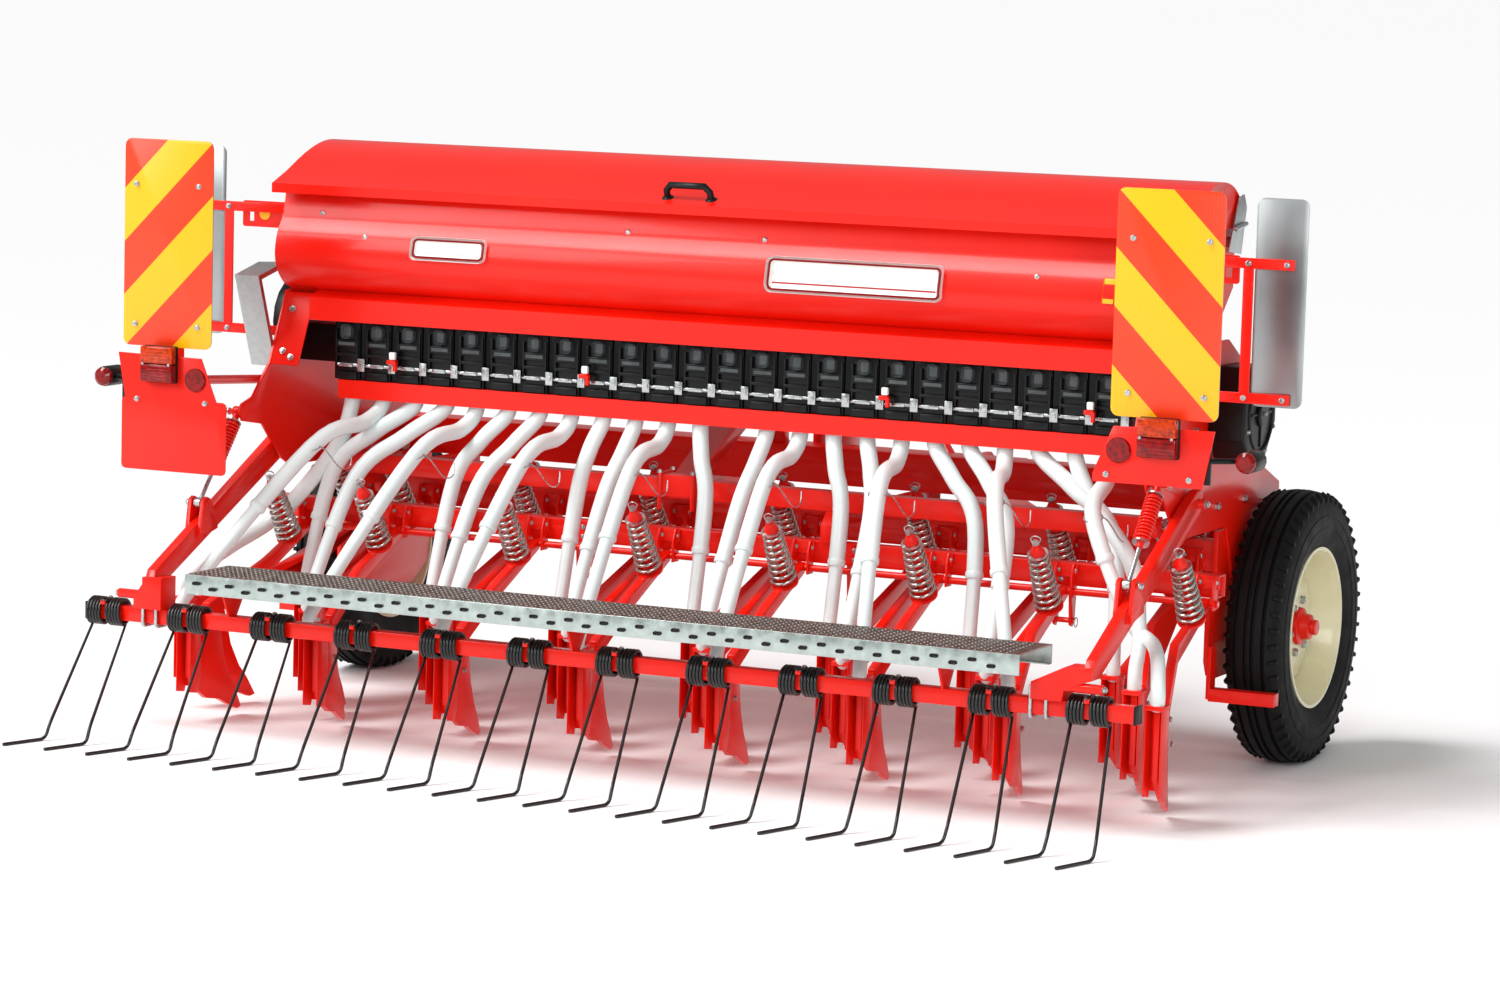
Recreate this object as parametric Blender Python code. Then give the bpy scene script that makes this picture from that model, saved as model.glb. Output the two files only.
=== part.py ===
"""Mounted mechanical seed drill with hoe coulters, land wheels and a following harrow.

Metres, +Z up. The machine travels towards +Y, so its hopper front and hitch face +Y and its
harrow trails towards -Y. X is the working width, and the ground is Z = 0.
"""

import math

import bmesh
import bpy
from mathutils import Vector

# ---- driving dimensions -------------------------------------------------------------------
ROW_PITCH = 0.129          # between neighbouring seed rows
ROWS = 23
RANKS = 3                  # rows are shared out over three staggered ranks
UNIT_PITCH = 0.095         # between neighbouring metering units
UNITS = 24                 # one more than the rows: the twelfth gap is left blank
BLANK_UNIT = 12
TUBE_SIDES = 6
TINE_PITCH = 0.125
TINES = 24
LOWER_PIN_R = 0.014        # category 2 lower link pin
TOP_PIN_R = 0.01275
GAP = 0.0006               # air between two pieces that are bolted together

HOPPER_X = 1.275           # half length of the hopper walls
HOPPER_WALL = 0.004
LID_X = 1.2886
PLATE_X = 1.2796           # inner face of the side plates
PLATE_T = 0.008

AXLE_Y, TYRE_R, TYRE_W = 0.540, 0.356, 0.155
WHEEL_X = 1.375            # centre of the tyre
AXLE_R = 0.020

REAR_BEAM_Y, MID_BEAM_Y, FRONT_BEAM_Y = -0.0625, 0.2700, 0.5720
BEAM_TOP = 0.5980
MAIN_BEAM = (0.500, 0.600, 0.6312, 0.7312)
RAIL_X = (2.5 * ROW_PITCH, 8.5 * ROW_PITCH)

PIVOT = (-0.070, 0.730)    # harrow arm pivot in the side plates (Y, Z)
STRUT_TOP = (-0.333, 0.802)
STRUT_FOOT = (-0.520, 0.575)
ARM_X = 1.3065             # centre plane of harrow arm and strut
HARROW_BAR = (-0.731, 0.300)
BAR_SIDE = 0.040
WALK_TOP = 0.431
COIL_R = 0.039
WIRE_R = 0.0045
HEEL_Y, TOE_Y = -1.033, -1.163
HITCH_FRONT = 1.1643

BOARD_W, BOARD_H = 0.272, 0.545
BOARD_X = 1.257            # inner edge of a rear marker board
BOARD_Z = 0.984
BOARD_Y = -0.551
LAMP_Y = -0.572            # rear face of the lamp plates

HINGE = (0.268, 1.398)     # lid hinge axis (Y, Z)

for old in list(bpy.data.objects):
    bpy.data.objects.remove(old, do_unlink=True)

PART = bpy.data.collections.new("seed_drill")
bpy.context.scene.collection.children.link(PART)
CUTTERS = bpy.data.collections.new("cutters")
CUTTERS.hide_render = True
bpy.context.scene.collection.children.link(CUTTERS)


# ---- materials ----------------------------------------------------------------------------
def paint(name, colour, roughness, metallic=0.0):
    made = bpy.data.materials.new(name)
    made.use_nodes = True
    shader = made.node_tree.nodes["Principled BSDF"]
    shader.inputs["Base Color"].default_value = (*colour, 1.0)
    shader.inputs["Roughness"].default_value = roughness
    shader.inputs["Metallic"].default_value = metallic
    return made


RED = paint("red_enamel", (0.80, 0.02, 0.01), 0.35)
ZINC = paint("zinc_plate", (0.62, 0.64, 0.64), 0.45, 0.9)
BLACK = paint("black_plastic", (0.02, 0.02, 0.02), 0.5)
RUBBER = paint("tyre_rubber", (0.02, 0.02, 0.02), 0.85)
CREAM = paint("cream_enamel", (0.78, 0.74, 0.52), 0.4)
WHITE = paint("white_tube_plastic", (0.80, 0.85, 0.84), 0.5)
BOARD = paint("marker_board_face", (0.90, 0.20, 0.02), 0.4)
LENS = paint("lamp_lens", (0.55, 0.03, 0.02), 0.2)


# ---- shape helpers ------------------------------------------------------------------------
def keep(name, bm, material=None):
    """The bmesh as an object, faces outward."""
    bmesh.ops.recalc_face_normals(bm, faces=bm.faces)
    mesh = bpy.data.meshes.new(name)
    bm.to_mesh(mesh)
    bm.free()
    made = bpy.data.objects.new(name, mesh)
    PART.objects.link(made)
    if material:
        mesh.materials.append(material)
    return made


def placed(axis, u, v, t):
    return {"X": (t, u, v), "Y": (u, t, v), "Z": (u, v, t)}[axis]


def prism(name, outline, low, high, axis="X", material=None):
    """A flat outline, drawn square to the axis, given thickness from low to high along it."""
    bm = bmesh.new()
    ends = [[bm.verts.new(placed(axis, u, v, t)) for u, v in outline] for t in (low, high)]
    for end in ends:
        bm.faces.new(end)
    for i in range(len(outline)):
        j = (i + 1) % len(outline)
        bm.faces.new((ends[0][i], ends[0][j], ends[1][j], ends[1][i]))
    return keep(name, bm, material)


def box(name, xs, ys, zs, material=None):
    outline = ((ys[0], zs[0]), (ys[1], zs[0]), (ys[1], zs[1]), (ys[0], zs[1]))
    return prism(name, outline, *xs, "X", material)


def sweep(name, points, radii, sides=8, material=None, turn=0.0):
    """A round bar through the points, its radius given once or once for each point."""
    points = [Vector(p) for p in points]
    radii = radii if isinstance(radii, (list, tuple)) else [radii] * len(points)
    runs = [(b - a).normalized() for a, b in zip(points, points[1:])]
    ways = [runs[0]] + [(a + b).normalized() for a, b in zip(runs, runs[1:])] + [runs[-1]]
    side = ways[0].orthogonal().normalized()
    bm = bmesh.new()
    rings = []
    for i, (point, way, radius) in enumerate(zip(points, ways, radii)):
        side = (side - way * side.dot(way)).normalized()
        other = way.cross(side)
        stretch = 1.0
        if 0 < i < len(points) - 1:
            stretch = 1.0 / max(0.5, way.dot(runs[i]))
        ring = []
        for k in range(sides):
            angle = math.tau * k / sides + turn
            offset = side * math.cos(angle) + other * math.sin(angle)
            ring.append(bm.verts.new(point + offset * radius * (1.0 + (stretch - 1.0) * 0.5)))
        rings.append(ring)
    bm.faces.new(rings[0])
    bm.faces.new(rings[-1])
    for low, high in zip(rings, rings[1:]):
        for k in range(sides):
            m = (k + 1) % sides
            bm.faces.new((low[k], low[m], high[m], high[k]))
    return keep(name, bm, material)


def lathe(name, profile, y, z, steps, material=None):
    """A closed profile of (x, radius) turned round the X direction through (y, z)."""
    bm = bmesh.new()
    rings = []
    for k in range(steps):
        angle = math.tau * k / steps - math.pi / 2
        dy, dz = math.cos(angle), math.sin(angle)
        rings.append([bm.verts.new((x, y + r * dy, z + r * dz)) for x, r in profile])
    for k in range(steps):
        low, high = rings[k], rings[(k + 1) % steps]
        for i in range(len(profile)):
            j = (i + 1) % len(profile)
            bm.faces.new((low[i], low[j], high[j], high[i]))
    return keep(name, bm, material)


def folded(line, thickness):
    """The outline of a folded sheet: the line, and its offset to the right of its direction."""
    points = [Vector(p) for p in line]
    runs = [(b - a).normalized() for a, b in zip(points, points[1:])]
    normals = [Vector((r.y, -r.x)) for r in runs]
    ways = [normals[0]] + [(a + b).normalized() for a, b in zip(normals, normals[1:])] + [normals[-1]]
    firsts = normals + [normals[-1]]
    inner = [p + w * thickness / max(0.3, w.dot(n)) for p, w, n in zip(points, ways, firsts)]
    return [tuple(p) for p in points] + [tuple(p) for p in reversed(inner)]


def rounded(u0, v0, u1, v1, radius, steps=4):
    """A rectangle's outline with rounded corners."""
    corners = ((u1 - radius, v0 + radius, -90), (u1 - radius, v1 - radius, 0),
               (u0 + radius, v1 - radius, 90), (u0 + radius, v0 + radius, 180))
    outline = []
    for cu, cv, start in corners:
        for k in range(steps + 1):
            angle = math.radians(start + 90 * k / steps)
            outline.append((cu + radius * math.cos(angle), cv + radius * math.sin(angle)))
    return outline


def boolean(body, others, operation):
    """Joins the others to the body, or cuts them from it, and removes them."""
    for other in others:
        PART.objects.unlink(other)
        CUTTERS.objects.link(other)
        other.display_type = "WIRE"
    step = body.modifiers.new(operation.lower(), "BOOLEAN")
    step.operation = operation
    step.solver = "EXACT"
    step.operand_type = "COLLECTION"
    step.collection = CUTTERS
    graph = bpy.context.evaluated_depsgraph_get()
    made = bpy.data.meshes.new_from_object(body.evaluated_get(graph))
    body.modifiers.clear()
    body.data = made
    for other in others:
        bpy.data.objects.remove(other, do_unlink=True)
    return body


def fuse(name, pieces, material):
    """One solid out of overlapping pieces."""
    body = boolean(pieces[0], pieces[1:], "UNION")
    body.name = name
    body.data.materials.clear()
    body.data.materials.append(material)
    return body


def cut(body, cutters):
    return boolean(body, cutters, "DIFFERENCE")


def hang(name, place, nodes):
    """An empty on a joint's axis that carries the pieces which move about it."""
    axis = bpy.data.objects.new(name, None)
    axis.location = place
    PART.objects.link(axis)
    bpy.context.view_layer.update()
    for node in nodes:
        piece = bpy.data.objects[node]
        piece.parent = axis
        piece.matrix_parent_inverse = axis.matrix_world.inverted()


def both(maker):
    for side, hand in ((-1, "left"), (1, "right")):
        maker(side, hand)


def span(side, low, high):
    """A range of X given for the right-hand side, on the side asked for."""
    return (low, high) if side > 0 else (-high, -low)


# ---- frame --------------------------------------------------------------------------------
def rail(x):
    """Fore-and-aft member: it rests on the coulter beams and carries the main beam."""
    low, high = BEAM_TOP - 0.002, BEAM_TOP + 0.035
    rear = 0.5535
    outline = ((-0.095, rear), (-0.030, rear), (-0.030, low), (0.600, low), (0.600, high),
               (-0.060, high - 0.0024), (-0.095, 0.600))
    return prism("rail", outline, x - 0.020, x + 0.020)


def coulter_beam(y, width, z, xs):
    return box("beam", xs, (y - width / 2, y + width / 2), z)


def beam_clevis(x):
    """A pair of plates under the rear beam, with a pin through their feet."""
    outline = ((-0.085, 0.504), (-0.040, 0.504), (-0.050, 0.405), (-0.062, 0.392), (-0.076, 0.398))
    plates = [prism("ear", outline, x + dx - 0.003, x + dx + 0.003) for dx in (-0.022, 0.022)]
    pin = sweep("pin", ((x - 0.030, -0.064, 0.408), (x + 0.030, -0.064, 0.408)), 0.007)
    return plates + [pin]


def main_frame():
    y0, y1, z0, z1 = MAIN_BEAM
    pieces = [box("main", (-PLATE_X + GAP, PLATE_X - GAP), (y0, y1), (z0, z1))]
    pieces += [rail(side * x) for x in RAIL_X for side in (-1, 1)]
    pieces.append(coulter_beam(REAR_BEAM_Y, 0.055, (0.500, 0.5555), (-1.335, 1.385)))
    pieces.append(coulter_beam(MID_BEAM_Y, 0.060, (0.520, BEAM_TOP), (-1.262, 1.262)))
    pieces.append(coulter_beam(FRONT_BEAM_Y, 0.056, (0.520, BEAM_TOP), (-1.2664, 1.2664)))
    for x in (-0.385, 0.400, 0.968):
        pieces += beam_clevis(x)
    frame = fuse("main_frame", pieces, RED)
    bore = 0.047
    ends = [box("bore", (side * 1.36 - 0.05, side * 1.36 + 0.05),
                (REAR_BEAM_Y - bore / 2, REAR_BEAM_Y + bore / 2), (0.504, 0.5515)) for side in (-1, 1)]
    return cut(frame, ends)


def pressure_beam():
    """Square shaft that sets the coulter pressure, with its lever, clamp and screw jack."""
    low = BEAM_TOP + 0.035 - 0.0024 + GAP
    beam = box("shaft", (-1.20, 1.20), (-0.050, 0.000), (low, low + 0.050))
    clamp = box("clamp", (-0.185, -0.075), (-0.062, 0.012), (low + 0.006, low + 0.062))
    arm = ((-0.055, low + 0.03), (-0.020, low + 0.02), (0.345, 0.820), (0.340, 0.855), (0.300, 0.858))
    lever = prism("lever", arm, -0.165, -0.095)
    jack = sweep("jack", ((-0.130, 0.325, 0.838), (-0.130, 0.540, 0.790)), 0.016)
    foot = box("foot", (-0.160, -0.100), (0.520, 0.570), (MAIN_BEAM[3] + GAP, 0.810))
    rods = []
    for x in (-0.178, -0.082):
        loop = ((x, -0.064, low - 0.030), (x, -0.064, low + 0.064), (x, 0.014, low + 0.064),
                (x, 0.014, low - 0.012))
        rods.append(sweep("u_bolt", loop, 0.006, 6))
    return fuse("pressure_beam", [beam, clamp, lever, jack, foot] + rods, RED)


def headstock():
    """Three-point hitch: a bar bolted to the main beam, the lower link pins and the top link mast."""
    y = MAIN_BEAM[1] + GAP
    pieces = [box("bar", (-0.56, 0.56), (y, y + 0.080), (0.640, 0.724))]
    front = HITCH_FRONT
    lower = ((y + 0.002, 0.440), (front - 0.11, 0.440), (front, 0.470), (front, 0.530), (front - 0.09, 0.560),
             (y + 0.20, 0.720), (y + 0.002, 0.720))
    mast = ((y + 0.002, 0.645), (y + 0.078, 0.645), (y + 0.28, 0.98), (y + 0.40, 1.06), (y + 0.40, 1.150),
            (y + 0.26, 1.160), (y + 0.002, 0.840))
    for side in (-1, 1):
        pieces.append(prism("lower_plate", lower, *span(side, 0.390, 0.406)))
        pin = ((side * 0.388, front - 0.045, 0.500), (side * 0.500, front - 0.045, 0.500))
        pieces.append(sweep("lower_pin", pin, LOWER_PIN_R, 32))
        pieces.append(prism("mast_plate", mast, *span(side, 0.030, 0.042)))
        stay = ((side * 0.036, y + 0.27, 1.02), (side * 0.36, y + 0.045, 0.700))
        pieces.append(sweep("stay", stay, 0.016))
    stock = fuse("headstock", pieces, RED)
    hole = sweep("top_hole", ((-0.06, y + 0.345, 1.105), (0.06, y + 0.345, 1.105)), TOP_PIN_R, 32)
    return cut(stock, [hole])


SIDE_OUTLINE = ((-0.130, 1.120), (-0.215, 0.930), (-0.300, 0.842), (-0.355, 0.827), (-0.366, 0.802),
                (-0.350, 0.780), (-0.250, 0.765), (-0.150, 0.665), (-0.100, 0.640), (0.235, 0.640),
                (0.300, 0.500), (0.620, 0.500), (0.655, 0.560), (0.640, 0.720), (0.430, 0.800),
                (0.430, 1.000), (0.200, 1.120))


def side_plate(side, hand):
    """End plate of the frame: it carries hopper, main beam, wheel leg, harrow arm and strut."""
    outer = PLATE_X + PLATE_T
    plate = prism("plate", SIDE_OUTLINE, *span(side, PLATE_X, outer))
    flange = prism("flange", folded(((-0.2148, 0.925), (-0.130, 1.115)), 0.005),
                   *span(side, 1.195, PLATE_X + 0.001))
    pivot = sweep("pivot", ((side * (outer - 0.004), *PIVOT), (side * 1.336, *PIVOT)), 0.012, 16)
    eye = sweep("eye", ((side * (outer - 0.004), *STRUT_TOP), (side * 1.332, *STRUT_TOP)), 0.008, 12)
    fuse(f"side_plate_{hand}", [plate, flange, pivot, eye], RED)


def wheel_leg(side, hand):
    """Plate that carries the wheel's stub axle, with the angled bar that keeps the tread clean."""
    outline = ((0.200, BEAM_TOP + 0.032), (0.200, 0.470), (0.155, 0.420), (0.155, 0.300), (0.175, 0.262),
               (0.215, 0.250), (0.560, 0.250), (0.640, 0.300), (0.660, 0.400), (0.660, BEAM_TOP + 0.032))
    leg = prism("leg", outline, *span(side, 1.267, 1.279))
    axle = sweep("axle", ((side * 1.275, AXLE_Y, TYRE_R), (side * 1.440, AXLE_Y, TYRE_R)), AXLE_R, 32)
    foot = box("foot", span(side, 1.2785, 1.2896), (0.150, 0.190), (0.205, 0.340))
    bar = box("bar", span(side, 1.2850, 1.4600), (0.150, 0.190), (0.200, 0.232))
    fuse(f"wheel_leg_{hand}", [leg, axle, foot, bar], RED)


def wheel(side, hand):
    """Tyre and dished disc rim."""
    half = TYRE_W / 2
    section = ((-0.060, 0.212), (-half, 0.270), (-0.073, 0.328), (-0.052, 0.350), (0.0, TYRE_R),
               (0.052, 0.350), (0.073, 0.328), (half, 0.270), (0.060, 0.212))
    tyre = [(side * (WHEEL_X + x), r) for x, r in section]
    lathe(f"tyre_{hand}", tyre, AXLE_Y, TYRE_R, 36, RUBBER)
    out = ((-0.062, 0.2106), (-0.062, 0.196), (-0.026, 0.190), (0.000, 0.090), (-0.050, 0.060),
           (-0.050, AXLE_R + 0.0005), (0.050, AXLE_R + 0.0005), (0.050, 0.046), (0.012, 0.092),
           (-0.012, 0.186), (0.062, 0.196), (0.062, 0.2106))
    rim = [(side * (WHEEL_X + x), r) for x, r in out]
    lathe(f"rim_{hand}", rim, AXLE_Y, TYRE_R, 24, CREAM)
    hang(f"wheel_axis_{hand}", (side * WHEEL_X, AXLE_Y, TYRE_R), (f"tyre_{hand}", f"rim_{hand}"))


# ---- hopper -------------------------------------------------------------------------------
REAR_POINTS = ((-0.142, 1.4320), (-0.160, 1.330), (-0.190, 1.280), (-0.202, 1.225), (-0.190, 1.180),
               (-0.155, 1.142), (-0.122, 1.128), (-0.055, 1.070), (-0.055, 1.0620))
FRONT_LINE = ((0.030, 1.0620), (0.030, 1.070), (0.235, 1.250), (0.235, 1.4720))
LID_POINTS = ((-0.134, 1.440), (-0.040, 1.485), (0.040, 1.512), (0.110, 1.520), (0.180, 1.508),
              (0.235, 1.478), (0.258, 1.445))


def curved(points, parts):
    """A smooth line through the points, each stretch in this many parts."""
    ends = [points[0]] + list(points) + [points[-1]]
    line = []
    for a, b, c, d in zip(ends, ends[1:], ends[2:], ends[3:]):
        for k in range(parts):
            t = k / parts
            line.append(tuple(0.5 * (2 * q + (r - p) * t + (2 * p - 5 * q + 4 * r - s) * t * t
                                     + (3 * q - p - 3 * r + s) * t ** 3) for p, q, r, s in zip(a, b, c, d)))
    return line + [points[-1]]


REAR_LINE = curved(REAR_POINTS[:7], 3) + list(REAR_POINTS[7:])
LID_LINE = [(-0.207, 1.385), (-0.207, 1.410)] + curved(LID_POINTS, 3) + [(0.258, 1.400)]


def hopper_walls():
    rear = [(y, z) for y, z in reversed(REAR_LINE)]
    prism("hopper_rear_wall", folded(rear, HOPPER_WALL), -HOPPER_X, HOPPER_X, "X", RED)
    front = prism("wall", folded(list(reversed(FRONT_LINE)), HOPPER_WALL), -HOPPER_X, HOPPER_X)
    pieces = [front]
    for x in (-0.90, 0.0, 0.90):
        pieces.append(box("tab", (x - 0.025, x + 0.025), (0.233, 0.268), (1.382, 1.392)))
        pieces.append(sweep("knuckle", ((x - 0.025, *HINGE), (x + 0.025, *HINGE)), 0.008, 12))
    fuse("hopper_front_wall", pieces, RED)


def hopper_floor():
    """Floor over the metering units, with one seed outlet above each."""
    floor = box("hopper_floor", (-HOPPER_X, HOPPER_X), (-0.058, 0.034), (1.0556, 1.0614), RED)
    holes = [box("outlet", (x - 0.015, x + 0.015), (-0.030, 0.010), (1.05, 1.07)) for x in unit_places()]
    cut(floor, holes)


def hopper_end(side, hand):
    """End sheet with the slotted lifting ear at its rear."""
    outline = REAR_LINE + [(-0.058, 1.050), (0.034, 1.050)] + list(FRONT_LINE)
    x0, x1 = HOPPER_X + 0.0003, HOPPER_X + 0.0043
    sheet = prism("sheet", outline, *span(side, x0, x1))
    ear = prism("ear", rounded(0.0, 1.285, 0.145, 1.355, 0.006, 2), -0.134, -0.128, "Y")
    for vertex in ear.data.vertices:
        vertex.co.x = side * (x1 - 0.002 + vertex.co.x)
    end = fuse(f"hopper_end_{hand}", [sheet, ear], RED)
    slot = box("slot", span(side, x1 + 0.108, x1 + 0.124), (-0.15, -0.11), (1.300, 1.342))
    cut(end, [slot])


def hopper_apron():
    """Folded strip that covers the top of the metering units."""
    line = ((-0.140, 1.046), (-0.160, 1.046), (-0.160, 1.106), (-0.1185, 1.1240))
    prism("hopper_apron", folded(line, 0.003), -1.194, 1.194, "X", RED)


def lid():
    shell = prism("shell", folded(LID_LINE, 0.003), -LID_X, LID_X)
    middle = [(y, z - 0.001) for y, z in LID_LINE[2:-2]]
    inside = [(-0.2055, 1.400), (-0.2055, 1.409)] + middle + [(0.2565, 1.445), (0.2565, 1.402)]
    pieces = [shell]
    for side in (-1, 1):
        pieces.append(prism("cap", inside, *span(side, LID_X - 0.004, LID_X - 0.0002)))
    for x in (-0.90, 0.0, 0.90):
        for dx in (-0.0455, 0.0455):
            pieces.append(box("leaf", (x + dx - 0.020, x + dx + 0.020), (0.2556, 0.268), (1.394, 1.404)))
            pieces.append(sweep("knuckle", ((x + dx - 0.020, *HINGE), (x + dx + 0.020, *HINGE)), 0.008, 12))
    fuse("hopper_lid", pieces, RED)
    x = -0.060
    slope = Vector((0.0, -0.38, 0.92))
    foot = Vector((x, -0.172, 1.4246)) + slope * (GAP + 0.0002)
    bow = ((-0.062, 0.0), (-0.062, 0.020), (-0.048, 0.036), (0.048, 0.036), (0.062, 0.020), (0.062, 0.0))
    path = [foot + Vector((dx, 0, 0)) + slope * h for dx, h in bow]
    sweep("lid_handle", path, 0.009, 8, BLACK)
    hang("lid_axis", (0.0, *HINGE), ("hopper_lid", "lid_handle"))


def lid_latch():
    """Galvanised latch plate on the right hopper end, standing clear of the lid's end cap."""
    outline = ((0.140, 1.345), (0.232, 1.335), (0.262, 1.452), (0.240, 1.486), (0.205, 1.478), (0.165, 1.400))
    plate = prism("plate", outline, LID_X + 0.006, LID_X + 0.010)
    boss = sweep("boss", ((HOPPER_X + 0.0043 + GAP, 0.190, 1.366), (LID_X + 0.0065, 0.190, 1.366)), 0.014, 10)
    path = ((LID_X + 0.009, 0.170, 1.402), (LID_X + 0.016, 0.170, 1.402), (LID_X + 0.016, 0.245, 1.412))
    bar = sweep("bar", path, 0.006, 8)
    fuse("lid_latch", [plate, boss, bar], ZINC)


# ---- seed metering ------------------------------------------------------------------------
def unit_places():
    return [(k - (UNITS - 1) / 2) * UNIT_PITCH for k in range(UNITS)]


def row_place(row):
    return (row - (ROWS - 1) / 2) * ROW_PITCH


def metering_units():
    """Housings in one line, each standing a little proud of the rail between them."""
    outline = [(-UNITS * UNIT_PITCH / 2, 0.020), (-UNITS * UNIT_PITCH / 2, -0.112)]
    for x in unit_places():
        outline += [(x - 0.036, -0.112), (x - 0.036, -0.124), (x + 0.036, -0.124), (x + 0.036, -0.112)]
    outline += [(UNITS * UNIT_PITCH / 2, -0.112), (UNITS * UNIT_PITCH / 2, 0.020)]
    body = prism("metering_units", outline, 0.888, 1.0550, "Z", BLACK)
    ends = [box("end", span(side, 1.13, PLATE_X - GAP), (-0.09, 0.0), (0.93, 1.03)) for side in (-1, 1)]
    fuse("metering_units", [body] + ends, BLACK)


def metering_shaft():
    """Feed shaft that lies across the faces of the units."""
    face = -0.124 - GAP
    sweep("metering_shaft", ((-1.12, face - 0.004, 0.928), (1.12, face - 0.004, 0.928)), 0.0045, 6, ZINC)


def seed_tray():
    line = ((-0.100, 0.8880 - GAP), (-0.130, 0.8880 - GAP), (-0.130, 0.8380), (-0.124, 0.8380))
    prism("seed_tray", folded(line[::-1], 0.003), -1.118, 1.118, "X", RED)


def unit_of(row):
    return row if row < BLANK_UNIT else row + 1


def tube_path(row):
    """Centre line of a seed tube from its unit to its boot, and the point where the slimmer half starts."""
    x0, x1 = unit_places()[unit_of(row)], row_place(row)
    step = x1 - x0
    foot_y, foot_z = -0.590 + BOOT_SHIFT[row % RANKS], 0.3034
    path = [(x0, -0.095, 0.882), (x0, -0.097, 0.825)]
    if row == 0:
        path += [(x0 - 0.020, -0.125, 0.720), (x0 - 0.115, -0.160, 0.580), (-1.290, -0.190, 0.490),
                 (-1.345, -0.300, 0.430)]
    elif row == ROWS - 2:
        path += [(x0 + 0.060, -0.125, 0.720), (x0 + 0.200, -0.200, 0.580), (1.284, -0.365, 0.440)]
    elif row == ROWS - 1:
        path += [(x0 + 0.015, -0.160, 0.780), (x0 + 0.028, -0.280, 0.700), (1.240, -0.330, 0.470),
                 (1.345, -0.420, 0.415)]
    elif row % RANKS == 1:
        path += [(x0 + 0.08 * step, -0.150, 0.780), (x0 + 0.30 * step, -0.320, 0.722)]
    else:
        lean = 0.235 if row % RANKS == 0 else 0.140
        path += [(x0 + 0.4 * step, -0.090 - 0.25 * lean, 0.750), (x0 + 0.85 * step, -lean, 0.640)]
    return path + [(x1, foot_y, foot_z + 0.045), (x1, foot_y, foot_z)], 3


def seed_tubes():
    """Telescopic seed tubes from the units to the coulters, hanging from one collar strip."""
    pieces = [box("strip", (-1.11, 1.11), (-0.0994, -0.060), (0.8745, 0.8880 - GAP))]
    for row in range(ROWS):
        path, ring = tube_path(row)
        radii = [0.0225] * (ring + 1) + [0.0185] * (len(path) - ring - 1)
        pieces.append(sweep("tube", path, radii, TUBE_SIDES))
    fuse("seed_tubes", pieces, WHITE)


# ---- coulters -----------------------------------------------------------------------------
# Each rank repeats the rear one, its boots and its pivots moved forward. Keys are row % RANKS, but
# PIVOT_X goes by row: these arms are splayed.
BOOT_SHIFT = {1: 0.0, 0: 0.190, 2: 0.380}
PIVOT_SHIFT = {1: 0.0, 0: 0.330, 2: 0.634}
RANK_NAME = {1: "rear", 0: "mid", 2: "front"}
PIVOT_X = {0: -1.200, 1: -1.215, 4: -0.935, 19: 0.985, 21: 1.200, 22: 1.360}
REAR_PIVOT = (-0.110, 0.488)


def coulter(row):
    """Lug, arm, boot with its hoe point, seed chute and pressure spring of one row."""
    rank = row % RANKS
    pivot, boot = PIVOT_SHIFT[rank], BOOT_SHIFT[rank]
    top = 0.020 if rank != 1 else 0.0
    face = REAR_BEAM_Y - 0.0275 + pivot - GAP
    if rank == 0:
        face = MID_BEAM_Y - 0.030 - GAP
    if rank == 2:
        face = FRONT_BEAM_Y - 0.028 - GAP
    py, pz = face - 0.019, REAR_PIVOT[1] + top
    lug = box("lug", (-0.026, 0.026), (face - 0.034, face), (pz - 0.016, pz + 0.070))
    knee, end = (-0.330 + (pivot + boot) / 2, 0.392), (-0.500 + boot, 0.300)
    bar = ((py + 0.006, pz + 0.014), (knee[0] + 0.004, knee[1] + 0.022), (end[0] - 0.02, end[1] + 0.010),
           (end[0] - 0.02, end[1] - 0.040), (knee[0] - 0.006, knee[1] - 0.024), (py - 0.002, pz - 0.014))
    arm = prism("arm", bar, -0.012, 0.012)
    b = boot
    shoe = ((-0.606, 0.296), (-0.545, 0.296), (-0.490, 0.310), (-0.474, 0.200), (-0.456, 0.130),
            (-0.428, 0.072), (-0.408, 0.024), (-0.420, 0.018), (-0.480, 0.052), (-0.540, 0.060),
            (-0.606, 0.078))
    hoe = prism("hoe", [(y + b, z) for y, z in shoe], -0.008, 0.008)
    chute = box("chute", (-0.022, 0.022), (-0.614 + b, -0.566 + b), (0.076, 0.302))
    slope = (knee[1] - pz) / (knee[0] - py)
    seat_y = py - 0.098
    seat = Vector((0.0, seat_y, pz + slope * (seat_y - py) + 0.008))
    lean = Vector((0.0, -0.100, 0.155)).normalized()
    steps = ((0.0, 0.034), (0.170, 0.024), (0.172, 0.009), (0.205, 0.009))
    spring = sweep("spring", [seat + lean * h for h, _ in steps], [r for _, r in steps], 7)
    pieces = [lug, arm, hoe, chute, spring]
    x_foot = row_place(row)
    x_pivot = PIVOT_X.get(row, x_foot)
    y_foot, y_bend = -0.545 + b, knee[0] + 0.010
    for piece in pieces:
        for vertex in piece.data.vertices:
            share = max(0.0, min(1.0, (y_bend - vertex.co.y) / (y_bend - y_foot)))
            vertex.co.x += x_pivot + (x_foot - x_pivot) * share * (piece.name != spring.name)
    return pieces, x_pivot, (py, pz)


def coulter_ranks():
    for rank in range(RANKS):
        pieces, places = [], []
        for row in range(rank, ROWS, RANKS):
            made, x, pivot = coulter(row)
            pieces += made
            places.append(x)
        shaft = sweep("shaft", ((min(places) - 0.034, *pivot), (max(places) + 0.034, *pivot)), 0.009, 8)
        fuse(f"coulter_rank_{RANK_NAME[rank]}", [shaft] + pieces, RED)


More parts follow.
